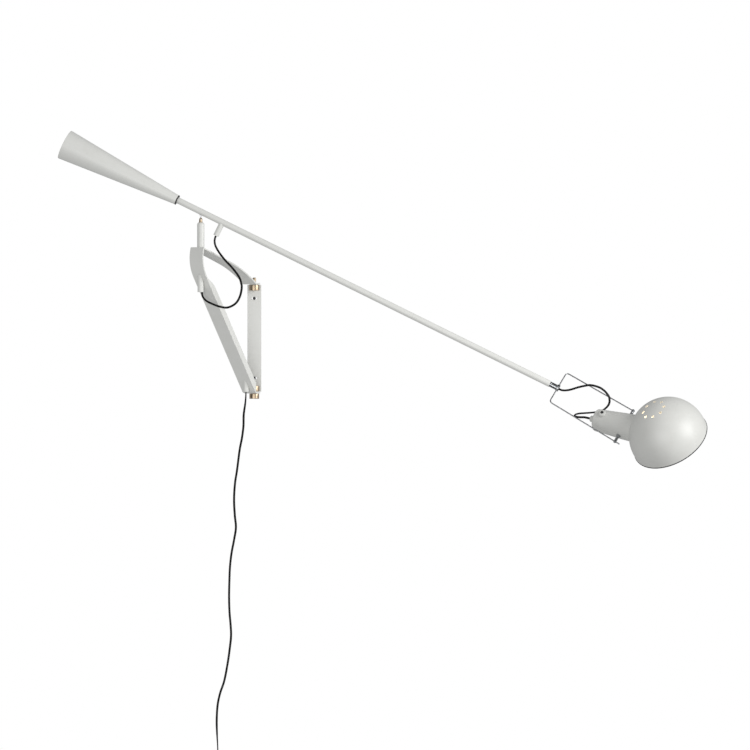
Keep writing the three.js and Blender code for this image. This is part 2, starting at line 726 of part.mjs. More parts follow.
function switchCollar() {
  const { at, collar, button, collarTop } = SWITCH;
  const [bore, low] = [button + 0.4, 31];
  const profile = [
    [bore, low],
    [collar, low],
    [collar, collarTop - 4],
    [collar - 1, collarTop - 1.5],
    [collar - 3, collarTop],
    [bore + 1.5, collarTop],
    [bore, collarTop - 1],
    [bore, low],
  ];
  const neckClearance = [[0, NECK.back + 2]];
  neckClearance.push([NECK.backRadius + GAP, NECK.back + 2], [NECK.pinRadius + GAP, 0], [0, 0]);
  const knob = turned(profile).translate(at, 0, 0);
  return cut(knob, alongX(turned(neckClearance, 48)));
}

function switchButton() {
  const { at, button, collarTop } = SWITCH;
  const top = collarTop + 3;
  const profile = [[0, 33.2], [button, 33.2], [button, top - 1], [button - 1, top], [0, top]];
  return turned(profile, 20).translate(at, 0, 0);
}

const stem = sleeve(5, CORD_BORE, NECK.back - 9.7, -45 - GAP, 20);
const switchBarrel = rod(SWITCH.barrel, 14, 30.6, 20).translate(SWITCH.at, 0, 0);
add(shade, "shade_bowl", shadeBowl(), paint);
add(shade, "shade_neck", shadeNeck(), paint);
add(shade, "rim_bead", rimBead(), blackPlastic);
add(shade, "neck_gland", neckGland(), paint);
add(shade, "holder_stem", alongX(stem), brass);
add(shade, "lamp_holder", lampHolder(), blackPlastic);
add(shade, "bulb_cap", bulbCap(), steel);
add(shade, "bulb_glass", bulbGlass(), glass);
add(shade, "terminal_block", box(24, 12, 10).translate(-70, 14, -6), nylon);
add(shade, "switch_barrel", switchBarrel, blackPlastic);
add(shade, "switch_collar", switchCollar(), paint);
add(shade, "switch_button", switchButton(), blackPlastic);

// ---------------------------------------------------------------- cords at rest

// Out of the arm's gland, round in one open loop, and up into the bracket's upper gland.
const LOOP_FROM_ARM = [
  [-108.8, -204.6, 293.0],
  [-110.9, -204.3, 287.5],
  [-112.3, -204.0, 278.0],
  [-110.2, -204.2, 266.0],
  [-101.0, -206.3, 248.3],
  [-83.8, -210.4, 225.3],
  [-63.7, -215.3, 203.8],
  [-46.5, -219.4, 182.2],
  [-38.5, -221.3, 167.2],
  [-36.5, -221.8, 159.7],
];
const LOOP_TO_BRACKET = [
  [-36.5, -221.8, 159.3],
  [-34.5, -222.3, 151.8],
  [-35.0, -222.1, 137.8],
  [-40.8, -220.7, 116.2],
  [-52.2, -218.0, 99.0],
  [-75.2, -212.5, 87.5],
  [-98.2, -207.0, 90.4],
  [-121.1, -201.5, 99.0],
  [-137.5, -197.4, 108.0],
  [-146.4, -195.3, 119.0],
  [-148.8, -194.8, 131.6],
];

// Out of the ferrule, over the fork's far leg, behind the switch and back into the neck.
const HEAD_FROM_FERRULE = [
  [874.4, -339.3, -146.2],
  [881.0, -340.3, -149.2],
  [890.0, -341.0, -150.2],
  [901.0, -340.5, -149.2],
  [912.1, -339.5, -146.6],
  [929.3, -337.5, -141.2],
  [948.2, -335.5, -137.0],
  [962.9, -333.5, -135.0],
  [977.5, -331.5, -137.5],
  [992.4, -330.0, -142.9],
  [1005.1, -328.5, -152.1],
  [1014.3, -327.2, -163.0],
  [1018.2, -326.0, -170.3],
  [1018.8, -324.5, -175.7],
];
const HEAD_TO_NECK = [
  [1018.8, -324.4, -176.1],
  [1019.2, -322.5, -181.5],
  [1016.8, -316.5, -190.5],
  [1010.5, -306.5, -199.0],
  [1001.0, -295.5, -206.4],
  [986.7, -284.0, -211.5],
  [966.6, -272.5, -214.0],
  [948.2, -264.5, -215.3],
  [932.0, -262.5, -216.6],
  [922.0, -267.5, -219.4],
  [919.0, -276.0, -223.2],
  [925.5, -284.0, -226.2],
  [936.5, -288.9, -227.0],
  [947.6, -293.8, -227.2],
  [956.5, -298.0, -229.0],
  [965.0, -302.1, -230.9],
];

// Down the wall from the bracket's lower gland, in the slow bends of a cord once coiled.
const MAINS_DROP = [
  [-23.8, -53.0, -155.4],
  [-24.2, -53.0, -170.0],
  [-26.0, -53.2, -190.0],
  [-30.1, -54.0, -219.6],
  [-31.0, -55.0, -254.0],
  [-35.0, -56.0, -286.0],
  [-41.5, -57.0, -320.0],
  [-49.4, -58.0, -380.3],
  [-55.1, -58.5, -417.6],
  [-57.9, -58.5, -465.0],
  [-55.7, -58.0, -510.9],
  [-52.6, -57.0, -545.0],
  [-58.0, -56.0, -581.2],
  [-65.1, -55.0, -618.5],
  [-69.7, -54.5, -658.7],
  [-71.5, -54.0, -701.7],
  [-72.3, -53.5, -747.6],
  [-71.0, -53.5, -790.0],
  [-68.0, -54.0, -825.0],
  [-66.6, -55.0, -856.7],
  [-70.5, -56.0, -895.0],
  [-77.0, -56.5, -940.0],
  [-86.7, -57.0, -988.7],
  [-98.2, -57.0, -1023.0],
  [-105.0, -56.5, -1054.7],
  [-107.9, -56.0, -1099.5],
  [-107.0, -55.0, -1140.0],
  [-105.0, -54.0, -1180.0],
  [-105.0, -54.0, HANK_TOP],
];

add(root, "loop_cord_arm", tube(smoothLine(LOOP_FROM_ARM), CORD, 16), flex);
add(root, "loop_cord_bracket", tube(smoothLine(LOOP_TO_BRACKET), CORD, 18), flex);
add(root, "head_cord_ferrule", tube(smoothLine(HEAD_FROM_FERRULE), CORD, 18), flex);
add(root, "head_cord_neck", tube(smoothLine(HEAD_TO_NECK), CORD, 22), flex);
add(root, "mains_cord", tube(smoothLine(MAINS_DROP), CORD, 62), flex);

// The unused length, folded into a hank: racetrack turns side by side, towards the wall.
const hankAt = MAINS_DROP.at(-1);
const hankHeight = HANK.run + 2 * FOLD_RADIUS + 2 * CORD;
const hankDepth = (HANK.layers - 1) * HANK.pitch + 2 * CORD;
const hankFront = hankAt[1] - CORD;
const hankCentre = [hankAt[0] + FOLD_RADIUS, hankFront + hankDepth / 2, 0];
hankCentre[2] = HANK_TOP - GAP - hankHeight / 2;
const tailPlace = [hankAt[0], hankAt[1] + (HANK.layers - 1) * HANK.pitch];

function cordHank() {
  const outline = stadium(hankHeight / 2, FOLD_RADIUS + CORD, 10);
  return plate(outline, -hankDepth / 2, hankDepth / 2).rotateY(Math.PI / 2);
}

function cordTie() {
  const height = 7;
  const [inner, outer] = [GAP, 2];
  const band = (grow, tall) =>
    box(2 * (FOLD_RADIUS + CORD + grow), hankDepth + 2 * grow, tall);
  return cut(band(outer, height), band(inner, height + 2));
}

function plugBody() {
  const { width, thickness, height } = PLUG;
  const outline = [
    [-5, 0], [-6.5, -6], [-width / 2 + 3, -14], [-width / 2, -18], [-width / 2, -height],
    [width / 2, -height], [width / 2, -18], [width / 2 - 3, -14], [6.5, -6], [5, 0],
  ];
  const bore = rod(CORD_BORE, -8, 1, 16);
  return cut(plate(outline.reverse(), -thickness / 2, thickness / 2), bore);
}

const tailTop = hankCentre[2] - hankHeight / 2 - GAP;
const tailLength = 16;
const tailLine = [
  [...tailPlace, tailTop],
  [...tailPlace, tailTop - tailLength / 2],
  [...tailPlace, tailTop - tailLength - 6],
];
const plug = group(root, [...tailPlace, tailTop - tailLength]);
const hank = group(root, hankCentre);
add(hank, "cord_hank", cordHank(), flex);
add(hank, "cord_tie", cordTie(), blackPlastic);
add(root, "plug_lead", tube(smoothLine(tailLine), CORD, 4), flex);
add(plug, "plug_body", plugBody(), blackPlastic);
for (const [name, side] of [["plug_pin_left", -1], ["plug_pin_right", 1]]) {
  const pin = rod(PLUG.pin, -PLUG.height - GAP - PLUG.pinLength, -PLUG.height - GAP, 16);
  add(plug, name, pin.translate((side * PLUG.pinSpacing) / 2, 0, 0), steel);
}

export default root;
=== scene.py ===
"""A white wall lamp. A strap bracket swings on the wall plate's hinge, a long counterweighted
arm tilts on the bracket's post, and a wire fork at the arm's tip carries the dome shade.
Sizes are in millimetres in each part's own frame; MM turns them into metres."""
from math import acos, atan2, cos, hypot, pi, radians, sin, sqrt, tan

import bpy
from mathutils import Matrix, Vector


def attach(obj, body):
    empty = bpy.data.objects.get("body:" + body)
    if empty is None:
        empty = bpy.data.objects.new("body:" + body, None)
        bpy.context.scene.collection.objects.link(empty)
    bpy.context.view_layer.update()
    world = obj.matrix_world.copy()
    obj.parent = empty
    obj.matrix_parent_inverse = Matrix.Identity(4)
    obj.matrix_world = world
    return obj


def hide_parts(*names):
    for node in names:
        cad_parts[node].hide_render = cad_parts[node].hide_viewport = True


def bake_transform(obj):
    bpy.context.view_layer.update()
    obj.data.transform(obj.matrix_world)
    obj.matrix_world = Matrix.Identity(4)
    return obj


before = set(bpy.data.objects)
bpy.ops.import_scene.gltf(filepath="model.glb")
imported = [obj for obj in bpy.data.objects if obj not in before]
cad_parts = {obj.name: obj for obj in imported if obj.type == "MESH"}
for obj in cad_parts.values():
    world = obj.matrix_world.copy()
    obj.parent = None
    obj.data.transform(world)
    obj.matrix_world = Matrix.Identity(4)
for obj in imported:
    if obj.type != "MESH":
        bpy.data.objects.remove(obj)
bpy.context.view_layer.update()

MM = 0.001

# ------------------------------------------------------------------ sizes

BRACKET_ANGLE, ARM_ANGLE, ARM_DROP = -131.4, -7.9, 26.1
FORK_ROLL, FORK_SWING, SHADE_TILT, BOWL_LEAN = 51.8, 7.4, -29.4, -15

PLATE_WIDTH, PLATE_HEIGHT, PLATE_THICKNESS = 40, 308, 5
SCREW_HEIGHT = 115
HINGE_SETBACK, HINGE_BORE = 26, 5.3
STRIP_WIDTH, STRIP_THICKNESS, EAR_HEIGHT = 50, 4, 157.2
EAR_TIP_RADIUS, EAR_WIDENS_TO = 17, 22  # the ears' round ends, seen from above
TOP_BEND = [(19, 157.2), (70.7, 196.7), (128, 217)]
CORNER, NOSE_PULL = (244, 258), (256.6, 214.6)
DIAGONAL_FOOT, DIAGONAL_SLOPE, DIAGONAL_LENGTH = (19.4, -157.2), 57.4, 393
FLANGE_THICKNESS, FLANGE_DEPTH = 3, 15
STRUT_GLANDS = {"strut_gland_upper": (231, 132), "strut_gland_lower": (36, -155)}
POST_REACH, TILT_HEIGHT, ARM_RISE = 230, 341, 19.6
ARM_RADIUS, ARM_BORE, ARM_TAIL, ARM_TIP = 9, 7.5, -330, 1115.4
ARM_GLAND_AT = 60.4
WEIGHT_FRONT, WEIGHT_REAR, WEIGHT_FRONT_RADIUS, WEIGHT_REAR_RADIUS = -87, -449.6, 14.2, 44
CROSSBAR_AT, CROSSBAR_OFFSET, CORD_BORE_OFFSET = 25, 3.6, -2
WIRE_RADIUS, WIRE_HALF_WIDTH, WIRE_BEND, WIRE_SPLAY = 1.75, 58.5, 10, 0.9
FORK_LENGTH, LEG_TIPS = 219, (15, 5)
BOWL_AHEAD, BOWL_RADIUS, BOWL_WALL, BOWL_SKIRT = 142, 113, 1.2, 14.4
NECK_BACK, NECK_FRONT, NECK_WALL, NECK_OPENING = -90, 45, 1.2, 37.5
VENT_COUNT, VENT_CIRCLE, VENT_RADIUS = 8, 32, 4.7
SWITCH_AT = -63
CORD_BORE = 2.9
FLEX_WIDTH, FLEX_THICKNESS = 6.4, 3.6
HANK_LEFT, HANK_FRONT, HANK_TOP = -105, -54, -1203
HANK_RUN, FOLD_RADIUS, HANK_LAYERS, HANK_PITCH = 80, 15, 5, 5.4
PLUG_TOP = -1334.6

# ------------------------------------------------------------------ frames


def placed(parent, position, angle=0, axis="Z"):
    """The frame at a position in its parent's frame, turned about one axis."""
    turn = Matrix.Rotation(radians(angle), 4, axis)
    return parent @ Matrix.Translation(Vector(position) * MM) @ turn


ROOT = Matrix.Identity(4)
HINGE = placed(ROOT, (0, -HINGE_SETBACK, 0))
BRACKET = placed(HINGE, (0, 0, 0), BRACKET_ANGLE, "Z")
POST = placed(BRACKET, (POST_REACH, 0, 0))
SWIVEL = placed(POST, (0, 0, 0), ARM_ANGLE - BRACKET_ANGLE, "Z")
TILT = placed(SWIVEL, (0, 0, TILT_HEIGHT), ARM_DROP, "Y")
ARM = placed(TILT, (0, 0, ARM_RISE))
FERRULE = placed(ARM, (ARM_TIP, 0, 0), FORK_ROLL, "X")
FORK = placed(FERRULE, (CROSSBAR_AT, 0, CROSSBAR_OFFSET), FORK_SWING, "Y")
SHADE = placed(FORK, (FORK_LENGTH, 0, 0), SHADE_TILT, "Y")
BOWL = placed(SHADE, (BOWL_AHEAD, 0, 0), BOWL_LEAN, "Y")
SWITCH = placed(SHADE, (SWITCH_AT, 0, 0))
ALONG_X = Matrix.Rotation(radians(90), 4, "Y")  # a turned shape's axis laid along +X
ALONG_Y = Matrix.Rotation(radians(-90), 4, "X")

# ------------------------------------------------------------------ materials


class Nodes:
    """A material's or world's node tree, with one short call for each node."""

    def __init__(self, owner):
        owner.use_nodes = True
        self.tree = owner.node_tree
        self.tree.nodes.clear()

    def add(self, kind, settings=None, **inputs):
        node = self.tree.nodes.new(kind)
        for name, value in (settings or {}).items():
            setattr(node, name, value)
        for name, value in inputs.items():
            self.plug(node, name.replace("_", " "), value)
        return node

    def plug(self, node, name, value):
        socket = node.inputs[int(name)] if name.isdigit() else node.inputs[name]
        if isinstance(value, bpy.types.NodeSocket):
            self.tree.links.new(value, socket)
        else:
            socket.default_value = value

    def noise(self, where, scale, detail=3.0, roughness=0.6):
        node = self.add("ShaderNodeTexNoise", Scale=scale, Detail=detail, Roughness=roughness)
        self.plug(node, "Vector", where)
        return node.outputs["Fac"]

    def spread(self, value, low, high, start=0.3, end=0.7):
        node = self.add("ShaderNodeMapRange", Value=value)
        for name, number in [
            ("From Min", start), ("From Max", end), ("To Min", low), ("To Max", high),
        ]:
            self.plug(node, name, number)
        return node.outputs["Result"]

    def mixed(self, factor, first, second):
        node = self.add("ShaderNodeMix", {"data_type": "RGBA"})
        self.tree.links.new(factor, node.inputs[0])
        node.inputs[6].default_value = first
        node.inputs[7].default_value = second
        return node.outputs[2]


def turned_marks(nodes, where, spacing):
    """A texture place that only changes with the radius and the height, as a lathe's marks do."""
    split = nodes.add("ShaderNodeSeparateXYZ", Vector=where).outputs
    flat = nodes.add("ShaderNodeCombineXYZ", X=split["X"], Y=split["Y"]).outputs[0]
    radius = nodes.add("ShaderNodeVectorMath", {"operation": "LENGTH"}, Vector=flat)
    rings = nodes.add("ShaderNodeCombineXYZ", X=radius.outputs["Value"], Z=split["Z"])
    return nodes.noise(rings.outputs[0], spacing, detail=2.0)


def material(name, light, dark, roughness, metallic=0.0, grain=900, bump=0.08, patch=40, lathe=0,
             specular=0.5):
    """A surface with a fine bump, patches of a second shade and an uneven gloss."""
    made = bpy.data.materials.new(name)
    nodes = Nodes(made)
    where = nodes.add("ShaderNodeTexCoord").outputs["Object"]
    fine = nodes.noise(where, grain)
    patches = nodes.noise(where, patch, detail=5.0)
    colour = nodes.mixed(nodes.spread(patches, 0.0, 1.0), (*dark, 1), (*light, 1))
    gloss = nodes.spread(patches, roughness[0], roughness[1])
    height = fine
    if lathe:
        marks = turned_marks(nodes, where, lathe)
        total = nodes.add("ShaderNodeMath", {"operation": "ADD"}, **{"0": fine, "1": marks})
        height = total.outputs[0]
    relief = nodes.add("ShaderNodeBump", Strength=bump, Distance=0.0004, Height=height)
    shader = nodes.add("ShaderNodeBsdfPrincipled", Metallic=metallic, Roughness=gloss)
    nodes.plug(shader, "Base Color", colour)
    nodes.plug(shader, "Normal", relief.outputs[0])
    nodes.plug(shader, "Specular IOR Level", specular)
    nodes.add("ShaderNodeOutputMaterial", Surface=shader.outputs[0])
    return made


MATERIALS = {
    "paint": material(
        "white_paint", (0.80, 0.80, 0.77), (0.77, 0.77, 0.735), (0.36, 0.46), bump=0.06
    ),
    # Painted shade: the head is the same white as the rest of the lamp, given a darker copy here to
    # stand in for the dimmer light on it.
    "shade_paint": material(
        "shade_paint", (0.66, 0.66, 0.632), (0.64, 0.64, 0.61), (0.34, 0.44), bump=0.05
    ),
    "brass": material(
        "brass", (0.58, 0.47, 0.34), (0.50, 0.39, 0.27), (0.34, 0.44), 1.0, 1500, 0.04, 60, 1800
    ),
    "chrome": material(
        "chrome", (0.42, 0.43, 0.44), (0.34, 0.35, 0.36), (0.10, 0.18), 1.0, 2500, 0.03, 150, 900
    ),
    "steel": material(
        "zinc_steel", (0.52, 0.52, 0.53), (0.42, 0.42, 0.44), (0.26, 0.42), 1.0, 1800, 0.1, 200
    ),
    "iron": material(
        "dark_iron", (0.09, 0.09, 0.095), (0.05, 0.05, 0.055), (0.4, 0.6), 0.9, 1200, 0.2, 150
    ),
    "black_plastic": material(
        "black_plastic", (0.018, 0.018, 0.019), (0.011, 0.011, 0.012), (0.34, 0.5), 0, 1600, 0.12
    ),
    "nylon": material(
        "nylon", (0.76, 0.75, 0.70), (0.70, 0.68, 0.62), (0.4, 0.55), 0, 1400, 0.08, 120
    ),
    "flex": material(
        "black_flex", (0.007, 0.007, 0.007), (0.004, 0.004, 0.004), (0.45, 0.6), 0, 1100, 0.1, 200,
        specular=0.18
    ),
}


LATHED = ("brass", "chrome")


def bulb_material():
    """Opal glass, lit from inside."""
    made = bpy.data.materials.new("lit_opal_glass")
    nodes = Nodes(made)
    where = nodes.add("ShaderNodeTexCoord").outputs["Object"]
    cloud = nodes.noise(where, 60)
    relief = nodes.add("ShaderNodeBump", Strength=0.05, Distance=0.0003, Height=cloud)
    shader = nodes.add("ShaderNodeBsdfPrincipled", Roughness=0.35)
    nodes.plug(shader, "Base Color", (0.95, 0.9, 0.8, 1))
    nodes.plug(shader, "Normal", relief.outputs[0])
    nodes.plug(shader, "Emission Color", (1.0, 0.82, 0.58, 1))
    nodes.plug(shader, "Emission Strength", nodes.spread(cloud, 7.0, 9.0))
    nodes.add("ShaderNodeOutputMaterial", Surface=shader.outputs[0])
    return made


MATERIALS["glass"] = bulb_material()

# ------------------------------------------------------------------ shapes


def rounded(outline, radius, closed=True, steps=4):
    """The outline with its corners rounded off."""
    points = [Vector(p) for p in outline]
    if radius == 0:
        return points
    count = len(points)
    made = []
    for i, corner in enumerate(points):
        before = points[i - 1] - corner
        after = points[(i + 1) % count] - corner
        at_end = not closed and i in (0, count - 1)
        if at_end or before.angle(after) > radians(165):
            made.append(corner)
            continue
        reach = min(radius, before.length * 0.48, after.length * 0.48)
        start = corner + before.normalized() * reach
        end = corner + after.normalized() * reach
        for k in range(steps + 1):
            t = k / steps
            made.append((1 - t) ** 2 * start + 2 * t * (1 - t) * corner + t * t * end)
    return made


def turned(profile, soft=0.4, segments=96):
    """A solid of revolution about Z from (radius, height) points that run up the outside.
    A profile that comes back to its first point is a ring; any other ends on the axis."""
    closed = tuple(profile[0]) == tuple(profile[-1])
    line = rounded(profile[:-1] if closed else profile, soft, closed)
    vertices, rings, faces = [], [], []
    for radius, height in line:
        start = len(vertices)
        count = segments if radius > 1e-6 else 1
        rings.append([start + i for i in range(count)])
        for i in range(count):
            angle = 2 * pi * i / segments
            vertices.append((radius * cos(angle), radius * sin(angle), height))
    uppers = rings[1:] + ([rings[0]] if closed else [])
    for lower, upper in zip(rings, uppers):
        for i in range(segments):
            j = (i + 1) % segments
            corners = [lower[i % len(lower)], lower[j % len(lower)]]
            corners += [upper[j % len(upper)], upper[i % len(upper)]]
            face = list(dict.fromkeys(corners))
            if len(face) > 2:
                faces.append(face)
    return vertices, faces


def rod(radius, start, end, soft=0.0, segments=48):
    return turned([(0, start), (radius, start), (radius, end), (0, end)], soft, segments)


def sleeve(radius, bore, start, end, soft=0.3, segments=96):
    corners = [(bore, start), (radius, start), (radius, end), (bore, end), (bore, start)]
    return turned(corners, soft, segments)


def prism(outline, start, end):
    """An outline in the X-Z plane, given thickness along Y."""
    count = len(outline)
    vertices = [(x, y, z) for y in (start, end) for x, z in outline]
    faces = [list(range(count)), list(range(2 * count - 1, count - 1, -1))]
    for i in range(count):
        j = (i + 1) % count
        faces.append([j, i, count + i, count + j])
    return vertices, faces


def block(low, high):
    outline = [(low[0], low[2]), (high[0], low[2]), (high[0], high[2]), (low[0], high[2])]
    return prism(outline, low[1], high[1])


def stadium(half_length, radius, steps=16):
    """Two half circles joined by straight sides, along the first axis."""
    outline = []
    for side in (1, -1):
        for i in range(steps + 1):
            angle = radians(-90 + 180 * i / steps)
            x = side * (half_length - radius + radius * cos(angle))
            outline.append((x, side * radius * sin(angle)))
    return outline


def moved(shape, matrix):
    """A shape, turned and shifted inside its own frame, in millimetres."""
    vertices, faces = shape
    return [tuple(matrix @ Vector(v)) for v in vertices], faces


def shifted(shape, x=0, y=0, z=0):
    return moved(shape, Matrix.Translation((x, y, z)))


def to_object(name, shape):
    vertices, faces = shape
    mesh = bpy.data.meshes.new(name)
    mesh.from_pydata([Vector(v) * MM for v in vertices], [], faces)
    mesh.validate()
    made = bpy.data.objects.new(name, mesh)
    bpy.context.scene.collection.objects.link(made)
    return made


def applied(obj):
    """Bakes the object's modifiers into its mesh."""
    evaluated = obj.evaluated_get(bpy.context.evaluated_depsgraph_get())
    mesh = bpy.data.meshes.new_from_object(evaluated)
    obj.modifiers.clear()
    obj.data = mesh


def combined(obj, operation, shapes):
    """The object after its shape is joined with, cut by or kept within other shapes."""
    for shape in shapes:
        tool = to_object("tool", shape)
        modifier = obj.modifiers.new("combine", "BOOLEAN")
        modifier.operation = operation
        modifier.solver = "EXACT"
        modifier.object = tool
        applied(obj)
        bpy.data.objects.remove(tool)


def softened(obj, width, angle=35):
    """Small round edges, with the flat faces left flat."""
    bevel = obj.modifiers.new("edges", "BEVEL")
    bevel.width = width * MM
    bevel.segments = 3
    bevel.limit_method = "ANGLE"
    bevel.angle_limit = radians(angle)
    applied(obj)


def piece(name, shape, place, body, slot, *nodes, joined=(), kept=(), cuts=(), edge=0, flat=False):
    """A finished piece of the lamp, which stands for CAD nodes and moves with a body."""
    obj = to_object(name, shape)
    combined(obj, "UNION", joined)
    combined(obj, "INTERSECT", kept)
    combined(obj, "DIFFERENCE", cuts)
    if edge:
        softened(obj, edge)
    obj.name = name
    obj.data.materials.clear()
    obj.data.materials.append(MATERIALS[slot])
    obj.data.shade_smooth()
    obj.data.set_sharp_from_angle(angle=radians(38))
    if flat:
        obj.modifiers.new("flat faces", "WEIGHTED_NORMAL").keep_sharp = True
        applied(obj)
    if slot in LATHED:
        obj.matrix_world = place  # the lathe's marks need the piece's own axis
    else:
        obj.data.transform(place)
    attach(obj, body)
    if nodes:
        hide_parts(*nodes)
    return obj


# ------------------------------------------------------------------ lines and cords


def smooth_line(points, step=2.0):
    """Points about a step apart on a centripetal Catmull-Rom curve through the given ones."""
    given = [Vector(p) for p in points]
    padded = [2 * given[0] - given[1], *given, 2 * given[-1] - given[-2]]
    line = []
    for p0, p1, p2, p3 in zip(padded, padded[1:], padded[2:], padded[3:]):
        t0 = 0.0
        t1 = t0 + sqrt((p1 - p0).length)
        t2 = t1 + sqrt((p2 - p1).length)
        t3 = t2 + sqrt((p3 - p2).length)
        count = max(1, round((p2 - p1).length / step))
        for k in range(count):
            t = t1 + (t2 - t1) * k / count
            a1 = p0.lerp(p1, (t - t0) / (t1 - t0))
            a2 = p1.lerp(p2, (t - t1) / (t2 - t1))
            a3 = p2.lerp(p3, (t - t2) / (t3 - t2))
            b1 = a1.lerp(a2, (t - t0) / (t2 - t0))
            b2 = a2.lerp(a3, (t - t1) / (t3 - t1))
            line.append(b1.lerp(b2, (t - t1) / (t2 - t1)))
    return [*line, given[-1]]


def swept(points, section, across, twist=lambda part: 0.0):
    """A section carried along a line without twisting, apart from the twist asked for.
    across is a direction that the section's first axis starts out close to."""
    tangents = []
    for i in range(len(points)):
        ahead, behind = points[min(i + 1, len(points) - 1)], points[max(i - 1, 0)]
        tangents.append((ahead - behind).normalized())
    side = Vector(across)
    vertices, faces = [], []
    count = len(section)
    for i, (point, tangent) in enumerate(zip(points, tangents)):
        side = (side - tangent * side.dot(tangent)).normalized()
        turn = Matrix.Rotation(twist(i / (len(points) - 1)), 3, tangent)
        first = turn @ side
        second = tangent.cross(first)
        vertices += [tuple(point + first * u + second * v) for u, v in section]
    for i in range(len(points) - 1):
        for j in range(count):
            k = (j + 1) % count
            low, high = i * count, (i + 1) * count
            faces.append([low + j, low + k, high + k, high + j])
    last = (len(points) - 1) * count
    faces.append(list(range(count - 1, -1, -1)))
    faces.append([last + j for j in range(count)])
    return vertices, faces


def circle(radius, count=16):
    return [(radius * cos(2 * pi * i / count), radius * sin(2 * pi * i / count))
            for i in range(count)]


def flex_section():
    """Two round cores side by side under one sheath, with a shallow groove between them."""
    core = FLEX_THICKNESS / 2
    offset = FLEX_WIDTH / 2 - core
    outline = []
    for side in (1, -1):
        for i in range(9):
            angle = radians(-104 + 208 * i / 8)
            outline.append((side * (offset + core * cos(angle)), side * core * sin(angle)))
    return outline


# Out of the arm's gland, round in one open loop, and up into the bracket's upper gland.
LOOP_FROM_ARM = [
    (-108.8, -204.6, 293.0),
    (-110.9, -204.3, 287.5),
    (-112.3, -204.0, 278.0),
    (-110.2, -204.2, 266.0),
    (-101.0, -206.3, 248.3),
    (-83.8, -210.4, 225.3),
    (-63.7, -215.3, 203.8),
    (-46.5, -219.4, 182.2),
    (-38.5, -221.3, 167.2),
    (-36.5, -221.8, 159.6),
]
LOOP_TO_BRACKET = [
    (-36.5, -221.8, 159.4),
    (-34.5, -222.3, 151.8),
    (-35.0, -222.1, 137.8),
    (-40.8, -220.7, 116.2),
    (-52.2, -218.0, 99.0),
    (-75.2, -212.5, 87.5),
    (-98.2, -207.0, 90.4),
    (-121.1, -201.5, 99.0),
    (-137.5, -197.4, 108.0),
    (-146.4, -195.3, 119.0),
    (-148.8, -194.8, 131.6),
]

# Out of the ferrule, over the fork's far leg, behind the switch and back into the neck.
HEAD_FROM_FERRULE = [
    (874.4, -339.3, -146.2),
    (881.0, -340.3, -149.2),
    (890.0, -341.0, -150.2),
    (901.0, -340.5, -149.2),
    (912.1, -339.5, -146.6),
    (929.3, -337.5, -141.2),
    (948.2, -335.5, -137.0),
    (962.9, -333.5, -135.0),
    (977.5, -331.5, -137.5),
    (992.4, -330.0, -142.9),
    (1005.1, -328.5, -152.1),
    (1014.3, -327.2, -163.0),
    (1018.2, -326.0, -170.3),
    (1018.8, -324.5, -175.9),
]
HEAD_TO_NECK = [
    (1018.8, -324.4, -176.1),
    (1019.2, -322.5, -181.5),
    (1016.8, -316.5, -190.5),
    (1010.5, -306.5, -199.0),
    (1001.0, -295.5, -206.4),
    (986.7, -284.0, -211.5),
    (966.6, -272.5, -214.0),
    (948.2, -264.5, -215.3),
    (932.0, -262.5, -216.6),
    (922.0, -267.5, -219.4),
    (919.0, -276.0, -223.2),
    (925.5, -284.0, -226.2),
    (936.5, -288.9, -227.0),
    (947.6, -293.8, -227.2),
    (956.5, -298.0, -229.0),
    (965.0, -302.1, -230.9),
]

# Down the wall from the bracket's lower gland, in the slow bends of a cord once coiled.
MAINS_DROP = [
    (-23.8, -53.0, -155.4),
    (-24.2, -53.0, -170.0),
    (-26.0, -53.2, -190.0),
    (-30.1, -54.0, -219.6),
    (-31.0, -55.0, -254.0),
    (-35.0, -56.0, -286.0),
    (-41.5, -57.0, -320.0),
    (-49.4, -58.0, -380.3),
    (-55.1, -58.5, -417.6),
    (-57.9, -58.5, -465.0),
    (-55.7, -58.0, -510.9),
    (-52.6, -57.0, -545.0),
    (-58.0, -56.0, -581.2),
    (-65.1, -55.0, -618.5),
    (-69.7, -54.5, -658.7),
    (-71.5, -54.0, -701.7),
    (-72.3, -53.5, -747.6),
    (-71.0, -53.5, -790.0),
    (-68.0, -54.0, -825.0),
    (-66.6, -55.0, -856.7),
    (-70.5, -56.0, -895.0),
    (-77.0, -56.5, -940.0),
    (-86.7, -57.0, -988.7),
    (-98.2, -57.0, -1023.0),
    (-105.0, -56.5, -1054.7),
    (-107.9, -56.0, -1099.5),
    (-107.0, -55.0, -1140.0),
    (-105.0, -54.0, -1180.0),
    (HANK_LEFT, HANK_FRONT, HANK_TOP),
]


def hank_line():
    """The folded spare length: down the left, round, up the right, one layer back each turn."""
    top = HANK_TOP - 17.8
    bottom = top - HANK_RUN
    middle = HANK_LEFT + FOLD_RADIUS
    line = []
    for layer in range(HANK_LAYERS):
        depth = HANK_FRONT + layer * HANK_PITCH
        slack = 1.6 * sin(2.4 * layer)
        for k in range(6):
            line.append((HANK_LEFT, depth, top - HANK_RUN * k / 5 + 0.01 * k))
        if layer == HANK_LAYERS - 1:
            break
        for k in range(1, 10):
            angle = pi * k / 10
            x = middle - FOLD_RADIUS * cos(angle)
            z = bottom - (FOLD_RADIUS + slack) * sin(angle)
            line.append((x, depth + HANK_PITCH * 0.25 * k / 10, z))
        for k in range(6):
            line.append((middle + FOLD_RADIUS, depth + HANK_PITCH * (0.25 + 0.25 * k / 5),
                         bottom + HANK_RUN * k / 5))
        for k in range(1, 10):
            angle = pi * k / 10
            x = middle + FOLD_RADIUS * cos(angle)
            z = top + (FOLD_RADIUS - slack) * sin(angle)
            line.append((x, depth + HANK_PITCH * (0.5 + 0.5 * k / 10), z))
    return line


